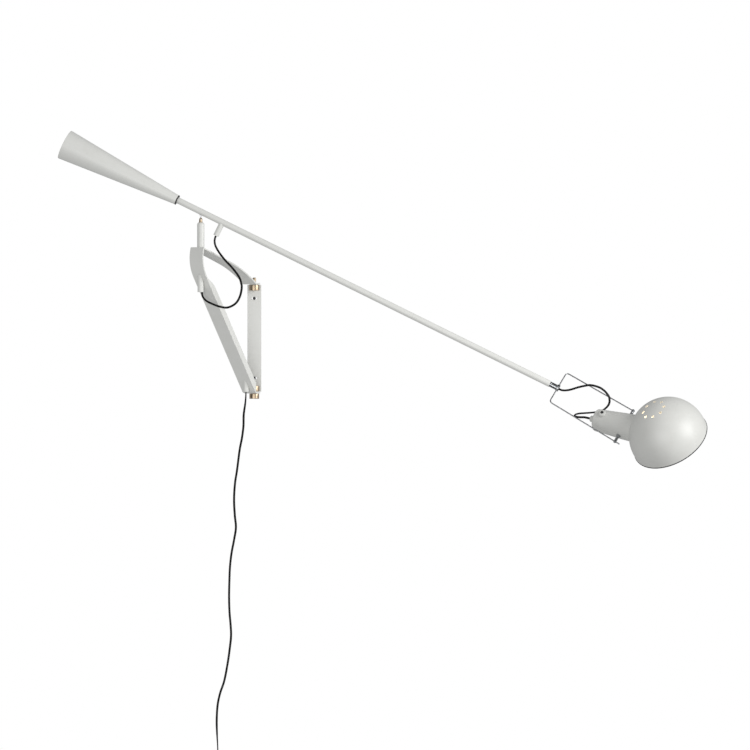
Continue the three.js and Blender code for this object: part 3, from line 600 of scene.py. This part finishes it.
def flex(name, points, across, twist, nodes, step=2.0):
    """A run of twin flex, as a mesh in the row's frame, and the line that it follows."""
    line = smooth_line(points, step)
    obj = to_object(name, swept(line, flex_section(), across, twist))
    obj.data.materials.append(MATERIALS["flex"])
    obj.data.shade_smooth()
    obj.data.set_sharp_from_angle(angle=radians(60))
    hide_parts(*nodes)
    return obj, line


def free_cord(name, points, across, twist, ends, bodies, nodes, **facts):
    """A cord that crosses one joint, swept as one mesh and baked into the world frame."""
    obj, line = flex(name, points, across, twist, nodes)
    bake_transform(obj)
    return obj


# ------------------------------------------------------------------ wall plate and hinge


def wall_parts():
    plate = block(
        (-PLATE_WIDTH / 2, -PLATE_THICKNESS, -PLATE_HEIGHT / 2),
        (PLATE_WIDTH / 2, 0, PLATE_HEIGHT / 2),
    )
    slots = [shifted(prism(stadium(7.5, 3.2), -10, 10), z=side * SCREW_HEIGHT) for side in (1, -1)]
    piece("wall_plate", plate, ROOT, "wall_plate", "paint", "wall_plate",
          cuts=slots, edge=0.6, flat=True)
    for end, side in (("upper", 1), ("lower", -1)):
        wall_screw(end, placed(ROOT, (0, 0, side * SCREW_HEIGHT)))
        turn = HINGE @ Matrix.Rotation(0 if side == 1 else pi, 4, "Y")
        reach = HINGE_SETBACK - PLATE_THICKNESS - 0.1
        barrel = rod(15, 137.5, 153.2, 0.6, 96)
        bridge = block((-7.5, 0, 137.8), (7.5, reach, 152.9))
        bore = rod(HINGE_BORE, 130, 160)
        piece(f"hinge_block_{end}", barrel, turn, "wall_plate", "brass", f"hinge_block_{end}",
              joined=[bridge], cuts=[bore], edge=0.35)
        if end == "lower":
            pin = [(0, 140.5), (5, 140.5), (5, 159.5), (14, 159.5), (14, 174.7), (3.2, 174.7)]
            pin += [(2.2, 173.6), (0, 173.6)]
            grooves = [sleeve(16, 13.75, 166.6, 167.2, 0)]
        else:
            pin = [(0, 140.5), (5, 140.5), (5, 173.2), (3.6, 174.7), (0, 174.7)]
            grooves = [sleeve(8, 4.7, 170.4, 171.2, 0)]
        piece(f"hinge_pin_{end}", turned(pin, 0.9), turn, "wall_plate", "brass",
              f"hinge_pin_{end}", cuts=grooves)
        piece(f"hinge_washer_{end}", sleeve(14, HINGE_BORE, 153.5, 154.9, 0.2), turn, "bracket",
              "nylon", f"hinge_washer_{end}")


def wall_screw(end, place):
    """A round-headed screw with a cross recess, in one of the plate's slots."""
    front = PLATE_THICKNESS + 0.3
    head = [(0, 0), (2.2, 0), (2.2, front), (4.3, front), (4.3, front + 1.0)]
    for i in range(1, 9):
        angle = radians(90 * i / 9)
        head.append((4.3 * cos(angle), front + 1.0 + 1.6 * sin(angle)))
    head.append((0, front + 2.6))
    to_room = Matrix.Rotation(radians(90), 4, "X")
    arms = [moved(block((-2.3, -0.5, front + 1.5), (2.3, 0.5, front + 5)),
                  Matrix.Rotation(radians(a), 4, "Z")) for a in (40, 130)]
    piece(f"wall_screw_{end}", turned(head, 0.15), place @ to_room, "wall_plate", "iron",
          f"wall_screw_{end}", cuts=arms)


# ------------------------------------------------------------------ swinging bracket


def diagonal_point(along, inward=0.0):
    slope = radians(DIAGONAL_SLOPE)
    return (
        DIAGONAL_FOOT[0] + along * cos(slope) - inward * sin(slope),
        DIAGONAL_FOOT[1] + along * sin(slope) + inward * cos(slope),
    )


def bend(start, pull, end, steps=24):
    start, pull, end = Vector(start), Vector(pull), Vector(end)
    parts = [k / steps for k in range(steps + 1)]
    return [(1 - t) ** 2 * start + 2 * t * (1 - t) * pull + t * t * end for t in parts]


def offset_line(points, distance):
    """The line that runs beside a polyline, to its left, with mitred corners."""
    points = [Vector(p) for p in points]
    made = []
    for i, point in enumerate(points):
        normals = []
        for a, b in ((points[max(i - 1, 0)], point), (point, points[min(i + 1, len(points) - 1)])):
            if (b - a).length > 0:
                normals.append(Vector((a.y - b.y, b.x - a.x)).normalized())
        mitre = sum(normals, Vector((0, 0))).normalized()
        made.append(point + mitre * distance / mitre.dot(normals[0]))
    return made


def flange_outline():
    nearest = 19.5
    foot = diagonal_point(8)
    return [
        foot,
        (nearest, foot[1]),
        (nearest, -129),
        diagonal_point(354, FLANGE_DEPTH),
        diagonal_point(368, FLANGE_DEPTH * 0.75),
        diagonal_point(DIAGONAL_LENGTH),
    ]


def strip_plan():
    """The strip seen from above: its sides run in to a round end about the hinge axis."""
    half = STRIP_WIDTH / 2
    start = atan2(half, EAR_WIDENS_TO) + acos(EAR_TIP_RADIUS / hypot(EAR_WIDENS_TO, half))
    outline = []
    for i in range(33):
        angle = start + (2 * pi - 2 * start) * i / 32
        outline.append((EAR_TIP_RADIUS * cos(angle), EAR_TIP_RADIUS * sin(angle)))
    past_corner = CORNER[0] + 60
    return [*outline, (EAR_WIDENS_TO, -half), (past_corner, -half), (past_corner, half),
            (EAR_WIDENS_TO, half)]


def bracket_parts():
    half = STRIP_WIDTH / 2
    line = [
        (-half, EAR_HEIGHT),
        *bend(*TOP_BEND),
        *bend(CORNER, NOSE_PULL, diagonal_point(DIAGONAL_LENGTH)),
        *bend(diagonal_point(6), DIAGONAL_FOOT, (13, -EAR_HEIGHT), 6),
        (-half, -EAR_HEIGHT),
    ]
    left, right = (offset_line(line, side * STRIP_THICKNESS / 2) for side in (1, -1))
    ribbon = prism([*left, *reversed(right)][::-1], -half, half)
    flanges = []
    for side in (1, -1):
        edges = sorted((side * half, side * (half - FLANGE_THICKNESS)))
        flanges.append(prism(flange_outline()[::-1], *edges))
    plan = moved(prism(strip_plan(), -300, 300), Matrix.Rotation(pi / 2, 4, "X"))
    holes = [rod(HINGE_BORE, -200, -100), rod(HINGE_BORE, 100, 200)]
    for reach, bottom in STRUT_GLANDS.values():
        holes.append(shifted(rod(CORD_BORE, bottom + 15, bottom + 50), reach))
    piece("bracket_strip", ribbon, BRACKET, "bracket", "paint", "bracket_strip",
          joined=flanges, kept=[plan], cuts=holes, edge=0.5, flat=True)
    for name, (reach, bottom) in STRUT_GLANDS.items():
        strut_gland(name, reach, bottom)
    post_parts()
    strut_cable_parts()


def strut_gland(name, reach, bottom):
    """A white tube that hangs straight down from the diagonal, with a black grommet."""
    body = sleeve(8.6, CORD_BORE, bottom, bottom + 50, 0.8)
    inside = STRIP_THICKNESS / 2 + 0.15
    behind = prism(
        [
            diagonal_point(-80, -inside),
            diagonal_point(DIAGONAL_LENGTH + 60, -inside),
            diagonal_point(DIAGONAL_LENGTH + 60, 80),
            diagonal_point(-80, 80),
        ],
        -STRIP_WIDTH,
        STRIP_WIDTH,
    )
    obj = piece(name, body, placed(BRACKET, (reach, 0, 0)), "bracket", "paint", name,
                cuts=[shifted(behind, -reach)])
    collar = [(CORD_BORE, bottom - 0.2), (4.6, bottom - 0.2), (5.4, bottom + 0.6),
              (5.4, bottom + 4), (CORD_BORE, bottom + 4), (CORD_BORE, bottom - 0.2)]
    grommet(f"{name}_grommet", collar, placed(BRACKET, (reach, 0, 0)), "bracket")
    return obj


def grommet(name, profile, place, body):
    piece(name, turned(profile, 0.3, 64), place, body, "black_plastic")


def post_parts():
    """The post on the bracket's corner and the bush in it."""
    outline = [(0, 245), (10.5, 245), (10.5, 327), (7.4, 331.5), (6.6, 331.5), (6.6, 262), (0, 262)]
    under = prism(
        [
            *offset_line([(TOP_BEND[2][0] - 30, 206), TOP_BEND[2], CORNER], 2.15)[1:],
            (CORNER[0] + 20, CORNER[1] + 9),
            (CORNER[0] + 20, 150),
            (TOP_BEND[2][0], 150),
        ],
        -STRIP_WIDTH,
        STRIP_WIDTH,
    )
    piece("post_tube", turned(outline, 0.8), POST, "bracket", "paint", "post_tube",
          cuts=[shifted(under, -POST_REACH)])
    piece("post_bush", sleeve(6.3, 5.1, 264, 331.7, 0.3), POST, "bracket", "nylon", "post_bush")


def strut_cable_parts():
    points = []
    for along in (33, 150, 270, 375):
        x, z = diagonal_point(along, 7.5)
        points.append((x, 0, z))
    line = smooth_line(points, 6)
    piece("strut_cable", swept(line, flex_section(), (0, 1, 0)), BRACKET, "bracket", "flex",
          "strut_cable")
    for name, along in (("cable_clip_upper", 300), ("cable_clip_lower", 100)):
        x, z = diagonal_point(along, 7.5)
        place = placed(BRACKET, (x, 0, z), 90 - DIAGONAL_SLOPE, "Y")
        piece(name, sleeve(4.5, 2.8, -4, 4, 0.4, 48), place, "bracket", "black_plastic", name)


# ------------------------------------------------------------------ swivel, arm and weight


def swivel_parts():
    outline = [(0, 266), (4.8, 266), (4.8, 331.9), (5.6, 332.1), (5.6, 333.6), (4.8, 334)]
    outline += [(4.8, 340.5), (3.8, 343.6), (2.6, 345.5), (0, 345.5)]
    lug_gap = block((-10, -1.6, 336), (10, 1.6, 352))
    pin_hole = moved(rod(1.4, -10, 10), Matrix.Translation((0, 0, TILT_HEIGHT)) @ ALONG_Y)
    piece("swivel_clevis", turned(outline, 0.5, 64), SWIVEL, "swivel", "brass", "swivel_clevis",
          cuts=[lug_gap, pin_hole])
    pin = turned([(0, -4.9), (1.25, -4.9), (1.25, 4.4), (1.25, 4.9), (0, 4.9)], 0.3, 32)
    place = placed(SWIVEL, (0, 0, TILT_HEIGHT)) @ ALONG_Y
    piece("tilt_pin", pin, place, "swivel", "steel", "tilt_pin")


def arm_parts():
    tube = sleeve(ARM_RADIUS, ARM_BORE, ARM_TAIL, ARM_TIP, 0.5)
    mouth = moved(rod(CORD_BORE, 0, 20), Matrix.Translation((0, 0, ARM_GLAND_AT)) @ ALONG_X)
    piece("arm_tube", tube, ARM @ ALONG_X, "arm", "paint", "arm_tube", cuts=[mouth])
    gland = sleeve(8, CORD_BORE, -43, 0, 0.8)
    tube_room = moved(rod(ARM_RADIUS + 0.1, -30, 30, 0, 96), ALONG_X)
    place = placed(ARM, (ARM_GLAND_AT, 0, 0))
    piece("arm_gland", gland, place, "arm", "paint", "arm_gland", cuts=[tube_room])
    collar = [(CORD_BORE, -43.2), (4.4, -43.2), (5.2, -42.4), (5.2, -39), (CORD_BORE, -39),
              (CORD_BORE, -43.2)]
    grommet("arm_gland_grommet", collar, place, "arm")
    arm_lug()
    cable = smooth_line([(70, 0, 0), (400, 0, 0), (800, 0, 0), (1090, 0, CORD_BORE_OFFSET)], 20)
    piece("arm_cable", swept(cable, flex_section(), (0, 1, 0)), ARM, "arm", "flex", "arm_cable")


def arm_lug():
    """A thin plate that hangs from the arm, with an eye round the tilt pin."""
    upright = tan(radians(ARM_DROP))
    bottom = -ARM_RISE

    def middle(z):
        return -(z - bottom) * upright

    outline = []
    for i in range(25):
        angle = radians(180 - ARM_DROP + 180 * i / 24)
        outline.append((2.6 * cos(angle), bottom + 2.6 * sin(angle)))
    heights = [(-14, 1.8), (-12.5, 1.9), (-11.2, 2.6), (-10.2, 3.6), (-9.1, 5)]
    outline += [(middle(z) + width, z) for z, width in heights]
    outline += [(middle(z) - width, z) for z, width in reversed(heights)]
    pin_hole = moved(rod(1.4, -10, 10), Matrix.Translation((0, 0, bottom)) @ ALONG_Y)
    piece("arm_lug", prism(outline[::-1], -1.3, 1.3), ARM, "arm", "steel", "arm_lug",
          cuts=[pin_hole], edge=0.25)


def weight_radius(along):
    part = (WEIGHT_FRONT - along) / (WEIGHT_FRONT - WEIGHT_REAR)
    return WEIGHT_FRONT_RADIUS + part * (WEIGHT_REAR_RADIUS - WEIGHT_FRONT_RADIUS)


def weight_parts():
    """The tapered counterweight: a painted shell, a black ring in front, a screwed cap behind."""
    rear, front, bore = WEIGHT_REAR, WEIGHT_FRONT, ARM_RADIUS + 0.3
    lip = weight_radius(rear) - 5
    outline = [
        (lip, rear),
        (weight_radius(rear), rear),
        (weight_radius(front), front),
        (bore, front),
        (bore, front - 4),
        (weight_radius(front - 4) - 2, front - 4),
        (weight_radius(rear + 8) - 2, rear + 8),
        (lip, rear + 5),
        (lip, rear),
    ]
    along = ARM @ ALONG_X
    piece("counterweight_shell", turned(outline, 1.4, 128), along, "arm", "paint",
          "counterweight_shell")
    ring = sleeve(14.6, bore, front + 0.3, front + 2.7, 0.5)
    piece("counterweight_ring", ring, along, "arm", "black_plastic", "counterweight_ring")
    cap = [(3.4, rear + 1), (10, rear + 1), (11, rear + 2), (lip - 5, rear + 2)]
    cap += [(lip - 4, rear + 1), (lip - 0.2, rear + 1), (lip - 0.2, rear + 4)]
    cap += [(3.4, rear + 4), (3.4, rear + 1)]
    piece("counterweight_cap", turned(cap, 0.4, 96), along, "arm", "paint", "counterweight_cap")
    screw = [(0, rear - 2), (4.5, rear - 2), (6, rear - 0.8), (6, rear + 0.8), (3, rear + 0.8)]
    screw += [(3, rear + 9), (0, rear + 9)]
    recess = moved(rod(2.6, rear - 6, rear + 0.1, 0, 6), Matrix.Identity(4))
    piece("counterweight_screw", turned(screw, 0.3, 64), along, "arm", "steel",
          "counterweight_screw", cuts=[recess])


# ------------------------------------------------------------------ ferrule and fork


def ferrule_parts():
    outline = [
        (0, -22), (7.2, -22), (7.2, 0.2), (7.8, 0.2), (7.8, 4), (7.4, 4.5), (7.4, 5.5), (7.8, 6),
        (7.8, 20.5), (10, 22), (10, 28.2), (9.2, 29), (0, 29),
    ]
    bore = shifted(rod(CORD_BORE, -30, 40), -CORD_BORE_OFFSET)
    cross = Matrix.Translation((-CROSSBAR_OFFSET, 0, CROSSBAR_AT)) @ ALONG_Y
    piece("ferrule", turned(outline, 0.5), FERRULE @ ALONG_X, "ferrule", "chrome", "ferrule",
          cuts=[bore, moved(rod(WIRE_RADIUS + 0.2, -20, 20), cross)])
    collar = [(CORD_BORE, 28), (4.2, 28), (4.2, 29.3), (CORD_BORE, 29.3), (CORD_BORE, 28)]
    place = placed(FERRULE, (0, 0, CORD_BORE_OFFSET)) @ ALONG_X
    grommet("ferrule_grommet", collar, place, "ferrule")


def leg_spread(along):
    return WIRE_HALF_WIDTH + along * tan(radians(WIRE_SPLAY))


def fork_parts():
    """One bent wire: a crossbar through the ferrule and a leg down each side of the shade."""
    tips = [FORK_LENGTH + tip for tip in LEG_TIPS]
    line = []
    for side, tip in ((-1, tips[0]), (1, tips[1])):
        leg = [(tip, side * leg_spread(tip), 0), (WIRE_BEND, side * leg_spread(WIRE_BEND), 0)]
        corner = bend((WIRE_BEND, side * leg_spread(WIRE_BEND)), (0, side * WIRE_HALF_WIDTH),
                      (0, side * (WIRE_HALF_WIDTH - WIRE_BEND)), 12)
        half = [leg[0], *[(p.x, p.y, 0) for p in corner]]
        line += half if side == -1 else half[::-1]
    line = [Vector(p) for p in line]
    piece("wire_fork", swept(line, circle(WIRE_RADIUS, 24), (0, 0, 1)), FORK, "fork", "chrome",
          "wire_fork")
    for end, side in (("upper", 1), ("lower", -1)):
        standoff_pin(f"standoff_pin_{end}", side)


def standoff_pin(name, side):
    """A turned pin that joins a fork leg to the neck, with a flared head against the neck."""
    wire_at = leg_spread(FORK_LENGTH)
    outer = wire_at + WIRE_RADIUS + 1.6
    outline = [
        (0, 33), (3, 33), (3, 38.4), (6.6, 38.4), (7, 38.9), (7, 39.6), (5.4, 42.2), (4.2, 46),
        (4.2, 49.6), (3.8, 50), (3.8, 51), (4.2, 51.4), (4.2, outer - 0.8), (3.4, outer),
        (1.6, outer), (1.2, outer - 0.8), (0, outer - 0.8),
    ]
    place = FORK @ Matrix.Translation(Vector((FORK_LENGTH, 0, 0)) * MM)
    if side < 0:
        place = place @ Matrix.Rotation(pi, 4, "X")
    hole = Matrix.Translation((0, 0, wire_at)) @ Matrix.Rotation(radians(90), 4, "Y")
    piece(name, turned(outline, 0.35, 64), place @ ALONG_Y, "fork", "chrome", name,
          cuts=[moved(rod(WIRE_RADIUS + 0.2, -10, 10), hole)])


# ------------------------------------------------------------------ shade


def bowl_arc(radius, steps=48):
    arc = [(radius, -BOWL_SKIRT)]
    for i in range(steps):
        angle = radians(90 * i / steps)
        arc.append((radius * cos(angle), radius * sin(angle)))
    return [*arc, (0, radius)]


def neck_outline(inset=0.0):
    edge = 6
    outline = []
    for i in range(13):
        angle = radians(90 * i / 12)
        radius = 32 - edge + (edge - inset) * sin(angle)
        outline.append((radius, NECK_BACK + edge - (edge - inset) * cos(angle)))
    return [*outline, (38 - inset, 0), (40 - inset, NECK_FRONT)]


def shade_parts():
    along = SHADE @ ALONG_X
    to_neck = along.inverted() @ BOWL
    to_neck.translation /= MM
    hole = 5.3
    neck = [(hole, NECK_BACK), *neck_outline(), *neck_outline(NECK_WALL)[::-1]]
    neck += [(hole, NECK_BACK + NECK_WALL), (hole, NECK_BACK)]
    pins = moved(rod(3.4, -60, 60), ALONG_Y)
    switch = Matrix.Translation((0, 0, SWITCH_AT)) @ ALONG_X.inverted()
    switch_hole = moved(rod(7.9, 10, 60, 0, 64), switch)
    bowl_room = turned([(0, -BOWL_SKIRT), *bowl_arc(BOWL_RADIUS + 0.05)], 0, 160)
    piece("shade_neck", turned(neck, 0.15, 128), along, "shade", "shade_paint", "shade_neck",
          cuts=[pins, switch_hole, moved(bowl_room, to_neck)])

    inner = bowl_arc(BOWL_RADIUS - BOWL_WALL)
    bowl = [*inner[::-1], *bowl_arc(BOWL_RADIUS)]
    cuts = []
    for i in range(VENT_COUNT):
        angle = 2 * pi * (i + 0.5) / VENT_COUNT
        vent = rod(VENT_RADIUS, 90, BOWL_RADIUS + 5, 0, 40)
        cuts.append(shifted(vent, VENT_CIRCLE * cos(angle), VENT_CIRCLE * sin(angle)))
    from_neck = to_neck.inverted()
    cuts.append(moved(rod(NECK_OPENING, 0, 70, 0, 96), from_neck))
    piece("shade_bowl", turned(bowl, 0, 160), BOWL, "shade", "shade_paint", "shade_bowl",
          cuts=cuts)

    bead = [(BOWL_RADIUS - 0.6 + 1.7 * u / 1.7, -BOWL_SKIRT - 1.75 + v) for u, v in circle(1.7, 20)]
    piece("rim_bead", turned([*bead, bead[0]], 0, 160), BOWL, "shade", "black_plastic", "rim_bead")

    gland = [(CORD_BORE, -107), (7.5, -107), (9, -105.5), (9, -90.1), (5.3, -90.1), (5.3, -100),
             (CORD_BORE, -100), (CORD_BORE, -107)]
    piece("neck_gland", turned(gland, 0.5), along, "shade", "shade_paint", "neck_gland")
    collar = [(CORD_BORE, -107.2), (4.4, -107.2), (5, -106.6), (5, -103), (CORD_BORE, -103),
              (CORD_BORE, -107.2)]
    grommet("neck_gland_grommet", collar, along, "shade")
    lamp_parts(along)
    switch_parts()


def lamp_parts(along):
    """The holder, its bulb and the terminals behind it, inside the neck."""
    holder = [(0, -45), (15, -45), (20, -37)]
    for k in range(5):
        z = -30 + 7 * k
        holder += [(20, z), (19.3, z + 0.8), (19.3, z + 2), (20, z + 2.8)]
    holder += [(20, 10), (23, 10), (23, 16), (13.8, 16), (13.8, -12), (0, -12)]
    piece("lamp_holder", turned(holder, 0.4, 64), along, "shade", "black_plastic", "lamp_holder")
    cap = [(0, -11), (4, -11), (4, -9.5), (11.5, -7), (12.7, -5)]
    for k in range(6):
        z = -4 + 3.3 * k
        cap += [(13.3, z + 0.8), (13.3, z + 1.4), (12.5, z + 2.4), (12.5, z + 3)]
    cap += [(13.1, 16.6), (0, 16.6)]
    piece("bulb_cap", turned(cap, 0.3, 64), along, "shade", "steel", "bulb_cap")
    glass = [(13, 16.8), (13.6, 22), (14.6, 28)]
    for i in range(31):
        angle = radians(-52 + 142 * i / 30)
        glass.append((30 * cos(angle), 67 + 30 * sin(angle)))
    glass[-1] = (0, 97)
    piece("bulb_glass", turned([(0, 16.8), *glass], 0.5, 96), along, "shade", "glass",
          "bulb_glass")
    stem = sleeve(5, CORD_BORE, NECK_BACK - 9.7, -45.3, 0.3, 48)
    piece("holder_stem", stem, along, "shade", "brass", "holder_stem")
    terminals = block((-82, 8, -11), (-58, 20, -1))
    screws = [shifted(rod(2.6, -3, 5), x, 14) for x in (-76, -64)]
    piece("terminal_block", terminals, SHADE, "shade", "nylon", "terminal_block",
          cuts=screws, edge=0.8)


def switch_parts():
    """The push button on top of the neck, in a white collar."""
    collar = [(3.8, 31), (11.5, 31), (11.5, 36), (10.5, 38.5), (8.5, 40), (5, 40), (3.8, 39),
              (3.8, 31)]
    neck_room = turned([(0, -88), (32.1, -88), (38.1, 0), (0, 0)], 0, 160)
    to_switch = SWITCH.inverted() @ SHADE @ ALONG_X
    to_switch.translation /= MM
    piece("switch_collar", turned(collar, 0.8, 64), SWITCH, "shade", "shade_paint",
          "switch_collar", cuts=[moved(neck_room, to_switch)])
    piece("switch_barrel", rod(7.6, 14, 30.6, 0.5, 64), SWITCH, "shade", "black_plastic",
          "switch_barrel")
    button = [(0, 33.2), (3.4, 33.2), (3.4, 42.2), (2.6, 43), (0, 42.6)]
    piece("switch_button", turned(button, 0.4, 48), SWITCH, "button", "black_plastic",
          "switch_button")


# ------------------------------------------------------------------ cords


def cord_parts():
    join = LOOP_TO_BRACKET[0]
    free_cord("loop_cord_arm", LOOP_FROM_ARM, (0, 1, 0.3), lambda part: 0.9 + 0.7 * part,
              (LOOP_FROM_ARM[0], join), ("arm", "swivel"), ["loop_cord_arm"],
              far_end="object", stiffness="medium", lay="hanging")
    free_cord("loop_cord_bracket", LOOP_TO_BRACKET, (0, 1, 0.3), lambda part: 1.6 - 0.5 * part,
              (join, LOOP_TO_BRACKET[-1]), ("swivel", "bracket"), ["loop_cord_bracket"],
              far_end="object", stiffness="medium", lay="hanging")
    join = HEAD_TO_NECK[0]
    free_cord("head_cord_ferrule", HEAD_FROM_FERRULE, (0, 1, 0), lambda part: 0.9 + 0.5 * part,
              (HEAD_FROM_FERRULE[0], join), ("ferrule", "fork"), ["head_cord_ferrule"],
              far_end="object", stiffness="medium", lay="loose")
    free_cord("head_cord_neck", HEAD_TO_NECK, (0, 1, 0), lambda part: 1.4 + 0.2 * part,
              (join, HEAD_TO_NECK[-1]), ("fork", "shade"), ["head_cord_neck"],
              far_end="object", stiffness="medium", lay="loose")
    tail = [(HANK_LEFT, HANK_FRONT + (HANK_LAYERS - 1) * HANK_PITCH, z)
            for z in (-1309, -1318, -1327, -1336)]
    drop = [*MAINS_DROP, *hank_line(), *tail]
    plug = plug_parts()
    drop_share = 0.47

    def turning(part):
        """Flat against the wall for most of the way down, then edge on for the hank."""
        down = min(part / drop_share, 1)
        settled = min(1, down / 0.08, (1 - down) / 0.08)
        return settled * (1.55 + 0.35 * sin(9 * down))

    free_cord("mains_cord", drop, (0, 1, 0), turning,
              ((-24, -53, -160), (-24, -53, -400)), ("bracket", "wall_plate"),
              ["mains_cord", "cord_hank", "plug_lead"],
              far_end="plug", stiffness="medium", lay="hanging", with_pieces=plug)


def plug_parts():
    """The tie round the folded flex, and the plug below it."""
    middle = HANK_LEFT + FOLD_RADIUS
    depth = HANK_FRONT + (HANK_LAYERS - 1) * HANK_PITCH / 2
    height = HANK_TOP - 17.8 - HANK_RUN / 2
    half_width, half_depth = FOLD_RADIUS + 2.0, 2 * HANK_PITCH + FLEX_WIDTH / 2 + 0.6
    outline = rounded([(-half_width, -half_depth), (half_width, -half_depth),
                       (half_width, half_depth), (-half_width, half_depth)], 3, True, 8)
    band = prism([tuple(p) for p in outline], -3.5, 3.5)
    grow = [(x * (half_width + 1.3) / half_width, z * (half_depth + 1.3) / half_depth)
            for x, z in outline]
    outer = prism(grow, -3.5, 3.5)
    upright = placed(ROOT, (middle, depth, height)) @ Matrix.Rotation(radians(90), 4, "X")
    inner = ([(x, y * 2, z) for x, y, z in band[0]], band[1])
    tie = piece("cord_tie", outer, upright, "wall_plate", "black_plastic", "cord_tie",
                cuts=[inner], edge=0.3)
    back = HANK_FRONT + (HANK_LAYERS - 1) * HANK_PITCH
    place = placed(ROOT, (HANK_LEFT, back, PLUG_TOP))
    sides = [(5, 0), (6.5, -6), (9, -10), (15, -14), (18, -19), (18, -38)]
    outline = [*sides, *[(-x, z) for x, z in reversed(sides)]]
    body = prism([tuple(p) for p in rounded(outline, 3, True, 5)], -7, 7)
    bore = rod(CORD_BORE, -8, 2)
    grips = []
    for z in (-22, -26, -30):
        for side in (-1, 1):
            grips.append(block((side * 18 - 1, -9, z - 1), (side * 18 + 1, 9, z + 1)))
    plug = piece("plug_body", body, place, "wall_plate", "black_plastic", "plug_body",
                 cuts=[bore, *grips], edge=0.9)
    made = [tie, plug]
    for name, side in (("plug_pin_left", -1), ("plug_pin_right", 1)):
        pin = turned([(0, -57.3), (1.4, -57.3), (2, -56.5), (2, -38.3), (0, -38.3)], 0.3, 48)
        pin_place = placed(place, (side * 9.5, 0, 0))
        made.append(piece(name, pin, pin_place, "wall_plate", "steel", name))
        guard = sleeve(2.15, 1.95, -47, -38.1, 0.05, 48)
        made.append(piece(f"{name}_guard", guard, pin_place, "wall_plate", "black_plastic"))
    return made


# ------------------------------------------------------------------ light and camera


def card(name, size, position, target, energy=None, visible_to=()):
    """A soft light, or with no energy a dark card that only reflections see."""
    turn = (Vector(target) - Vector(position)).to_track_quat("-Z", "Y").to_matrix().to_4x4()
    if energy is not None:
        light = bpy.data.lights.new(name, "AREA")
        light.shape = "RECTANGLE"
        light.size, light.size_y = size
        light.energy = energy
        obj = bpy.data.objects.new(name, light)
        obj.visible_camera = False
    else:
        width, height = (side / 2 for side in size)
        mesh = bpy.data.meshes.new(name)
        corners = [(-width, -height, 0), (width, -height, 0), (width, height, 0), (-width, height, 0)]
        mesh.from_pydata(corners, [], [(0, 1, 2, 3)])
        black = bpy.data.materials.new(name)
        nodes = Nodes(black)
        shader = nodes.add("ShaderNodeBsdfDiffuse", Color=(0.02, 0.02, 0.02, 1))
        nodes.add("ShaderNodeOutputMaterial", Surface=shader.outputs[0])
        mesh.materials.append(black)
        obj = bpy.data.objects.new(name, mesh)
        for ray in ("camera", "diffuse", "transmission", "shadow", "volume_scatter"):
            setattr(obj, f"visible_{ray}", False)
    obj.matrix_world = Matrix.Translation(position) @ turn
    bpy.context.scene.collection.objects.link(obj)
    return obj


def studio():
    """A pure white background, even light from all round and a large soft light at the right."""
    world = bpy.data.worlds.new("studio")
    bpy.context.scene.world = world
    nodes = Nodes(world)
    path = nodes.add("ShaderNodeLightPath").outputs
    seen = nodes.add("ShaderNodeMath", {"operation": "MAXIMUM"},
                     **{"0": path["Is Camera Ray"], "1": path["Is Transmission Ray"]})
    around = nodes.add("ShaderNodeBackground", Color=(0.98, 0.99, 1.0, 1), Strength=0.44)
    white = nodes.add("ShaderNodeBackground", Color=(1, 1, 1, 1), Strength=1.0)
    mix = nodes.add("ShaderNodeMixShader")
    nodes.plug(mix, "0", seen.outputs[0])
    nodes.plug(mix, "1", around.outputs[0])
    nodes.plug(mix, "2", white.outputs[0])
    nodes.add("ShaderNodeOutputWorld", Surface=mix.outputs[0])
    target = (0.35, -0.2, 0.0)
    card("key", (2.4, 2.4), (4.2, -2.4, 0.9), (1.1, -0.3, -0.2), energy=125)
    card("fill", (4.0, 3.0), (-1.3, -6.2, -0.5), target, energy=95)
    card("dark_left", (3.0, 4.0), (-4.5, -2.0, 0.5), target)
    card("dark_below", (4.0, 3.0), (-0.4, -1.6, -3.2), target)
    card("dark_above", (3.0, 2.4), (2.3, -1.0, 2.8), target)
    card("dark_behind", (1.4, 3.0), (2.0, -9.0, 3.0), target)


def camera():
    scene = bpy.context.scene
    data = bpy.data.cameras.new("camera")
    data.lens = 669
    data.sensor_width = 36
    data.clip_end = 100
    obj = bpy.data.objects.new("camera", data)
    obj.location = (0.348, -40.2, -0.1061)
    obj.rotation_euler = (radians(90), 0, 0)
    scene.collection.objects.link(obj)
    scene.camera = obj
    scene.view_settings.view_transform = "Standard"
    scene.view_settings.look = "None"


wall_parts()
bracket_parts()
swivel_parts()
arm_parts()
weight_parts()
ferrule_parts()
fork_parts()
shade_parts()
cord_parts()
for node, slot in {"counterweight_core": "iron"}.items():
    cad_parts[node].data.materials.clear()
    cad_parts[node].data.materials.append(MATERIALS[slot])
studio()
camera()
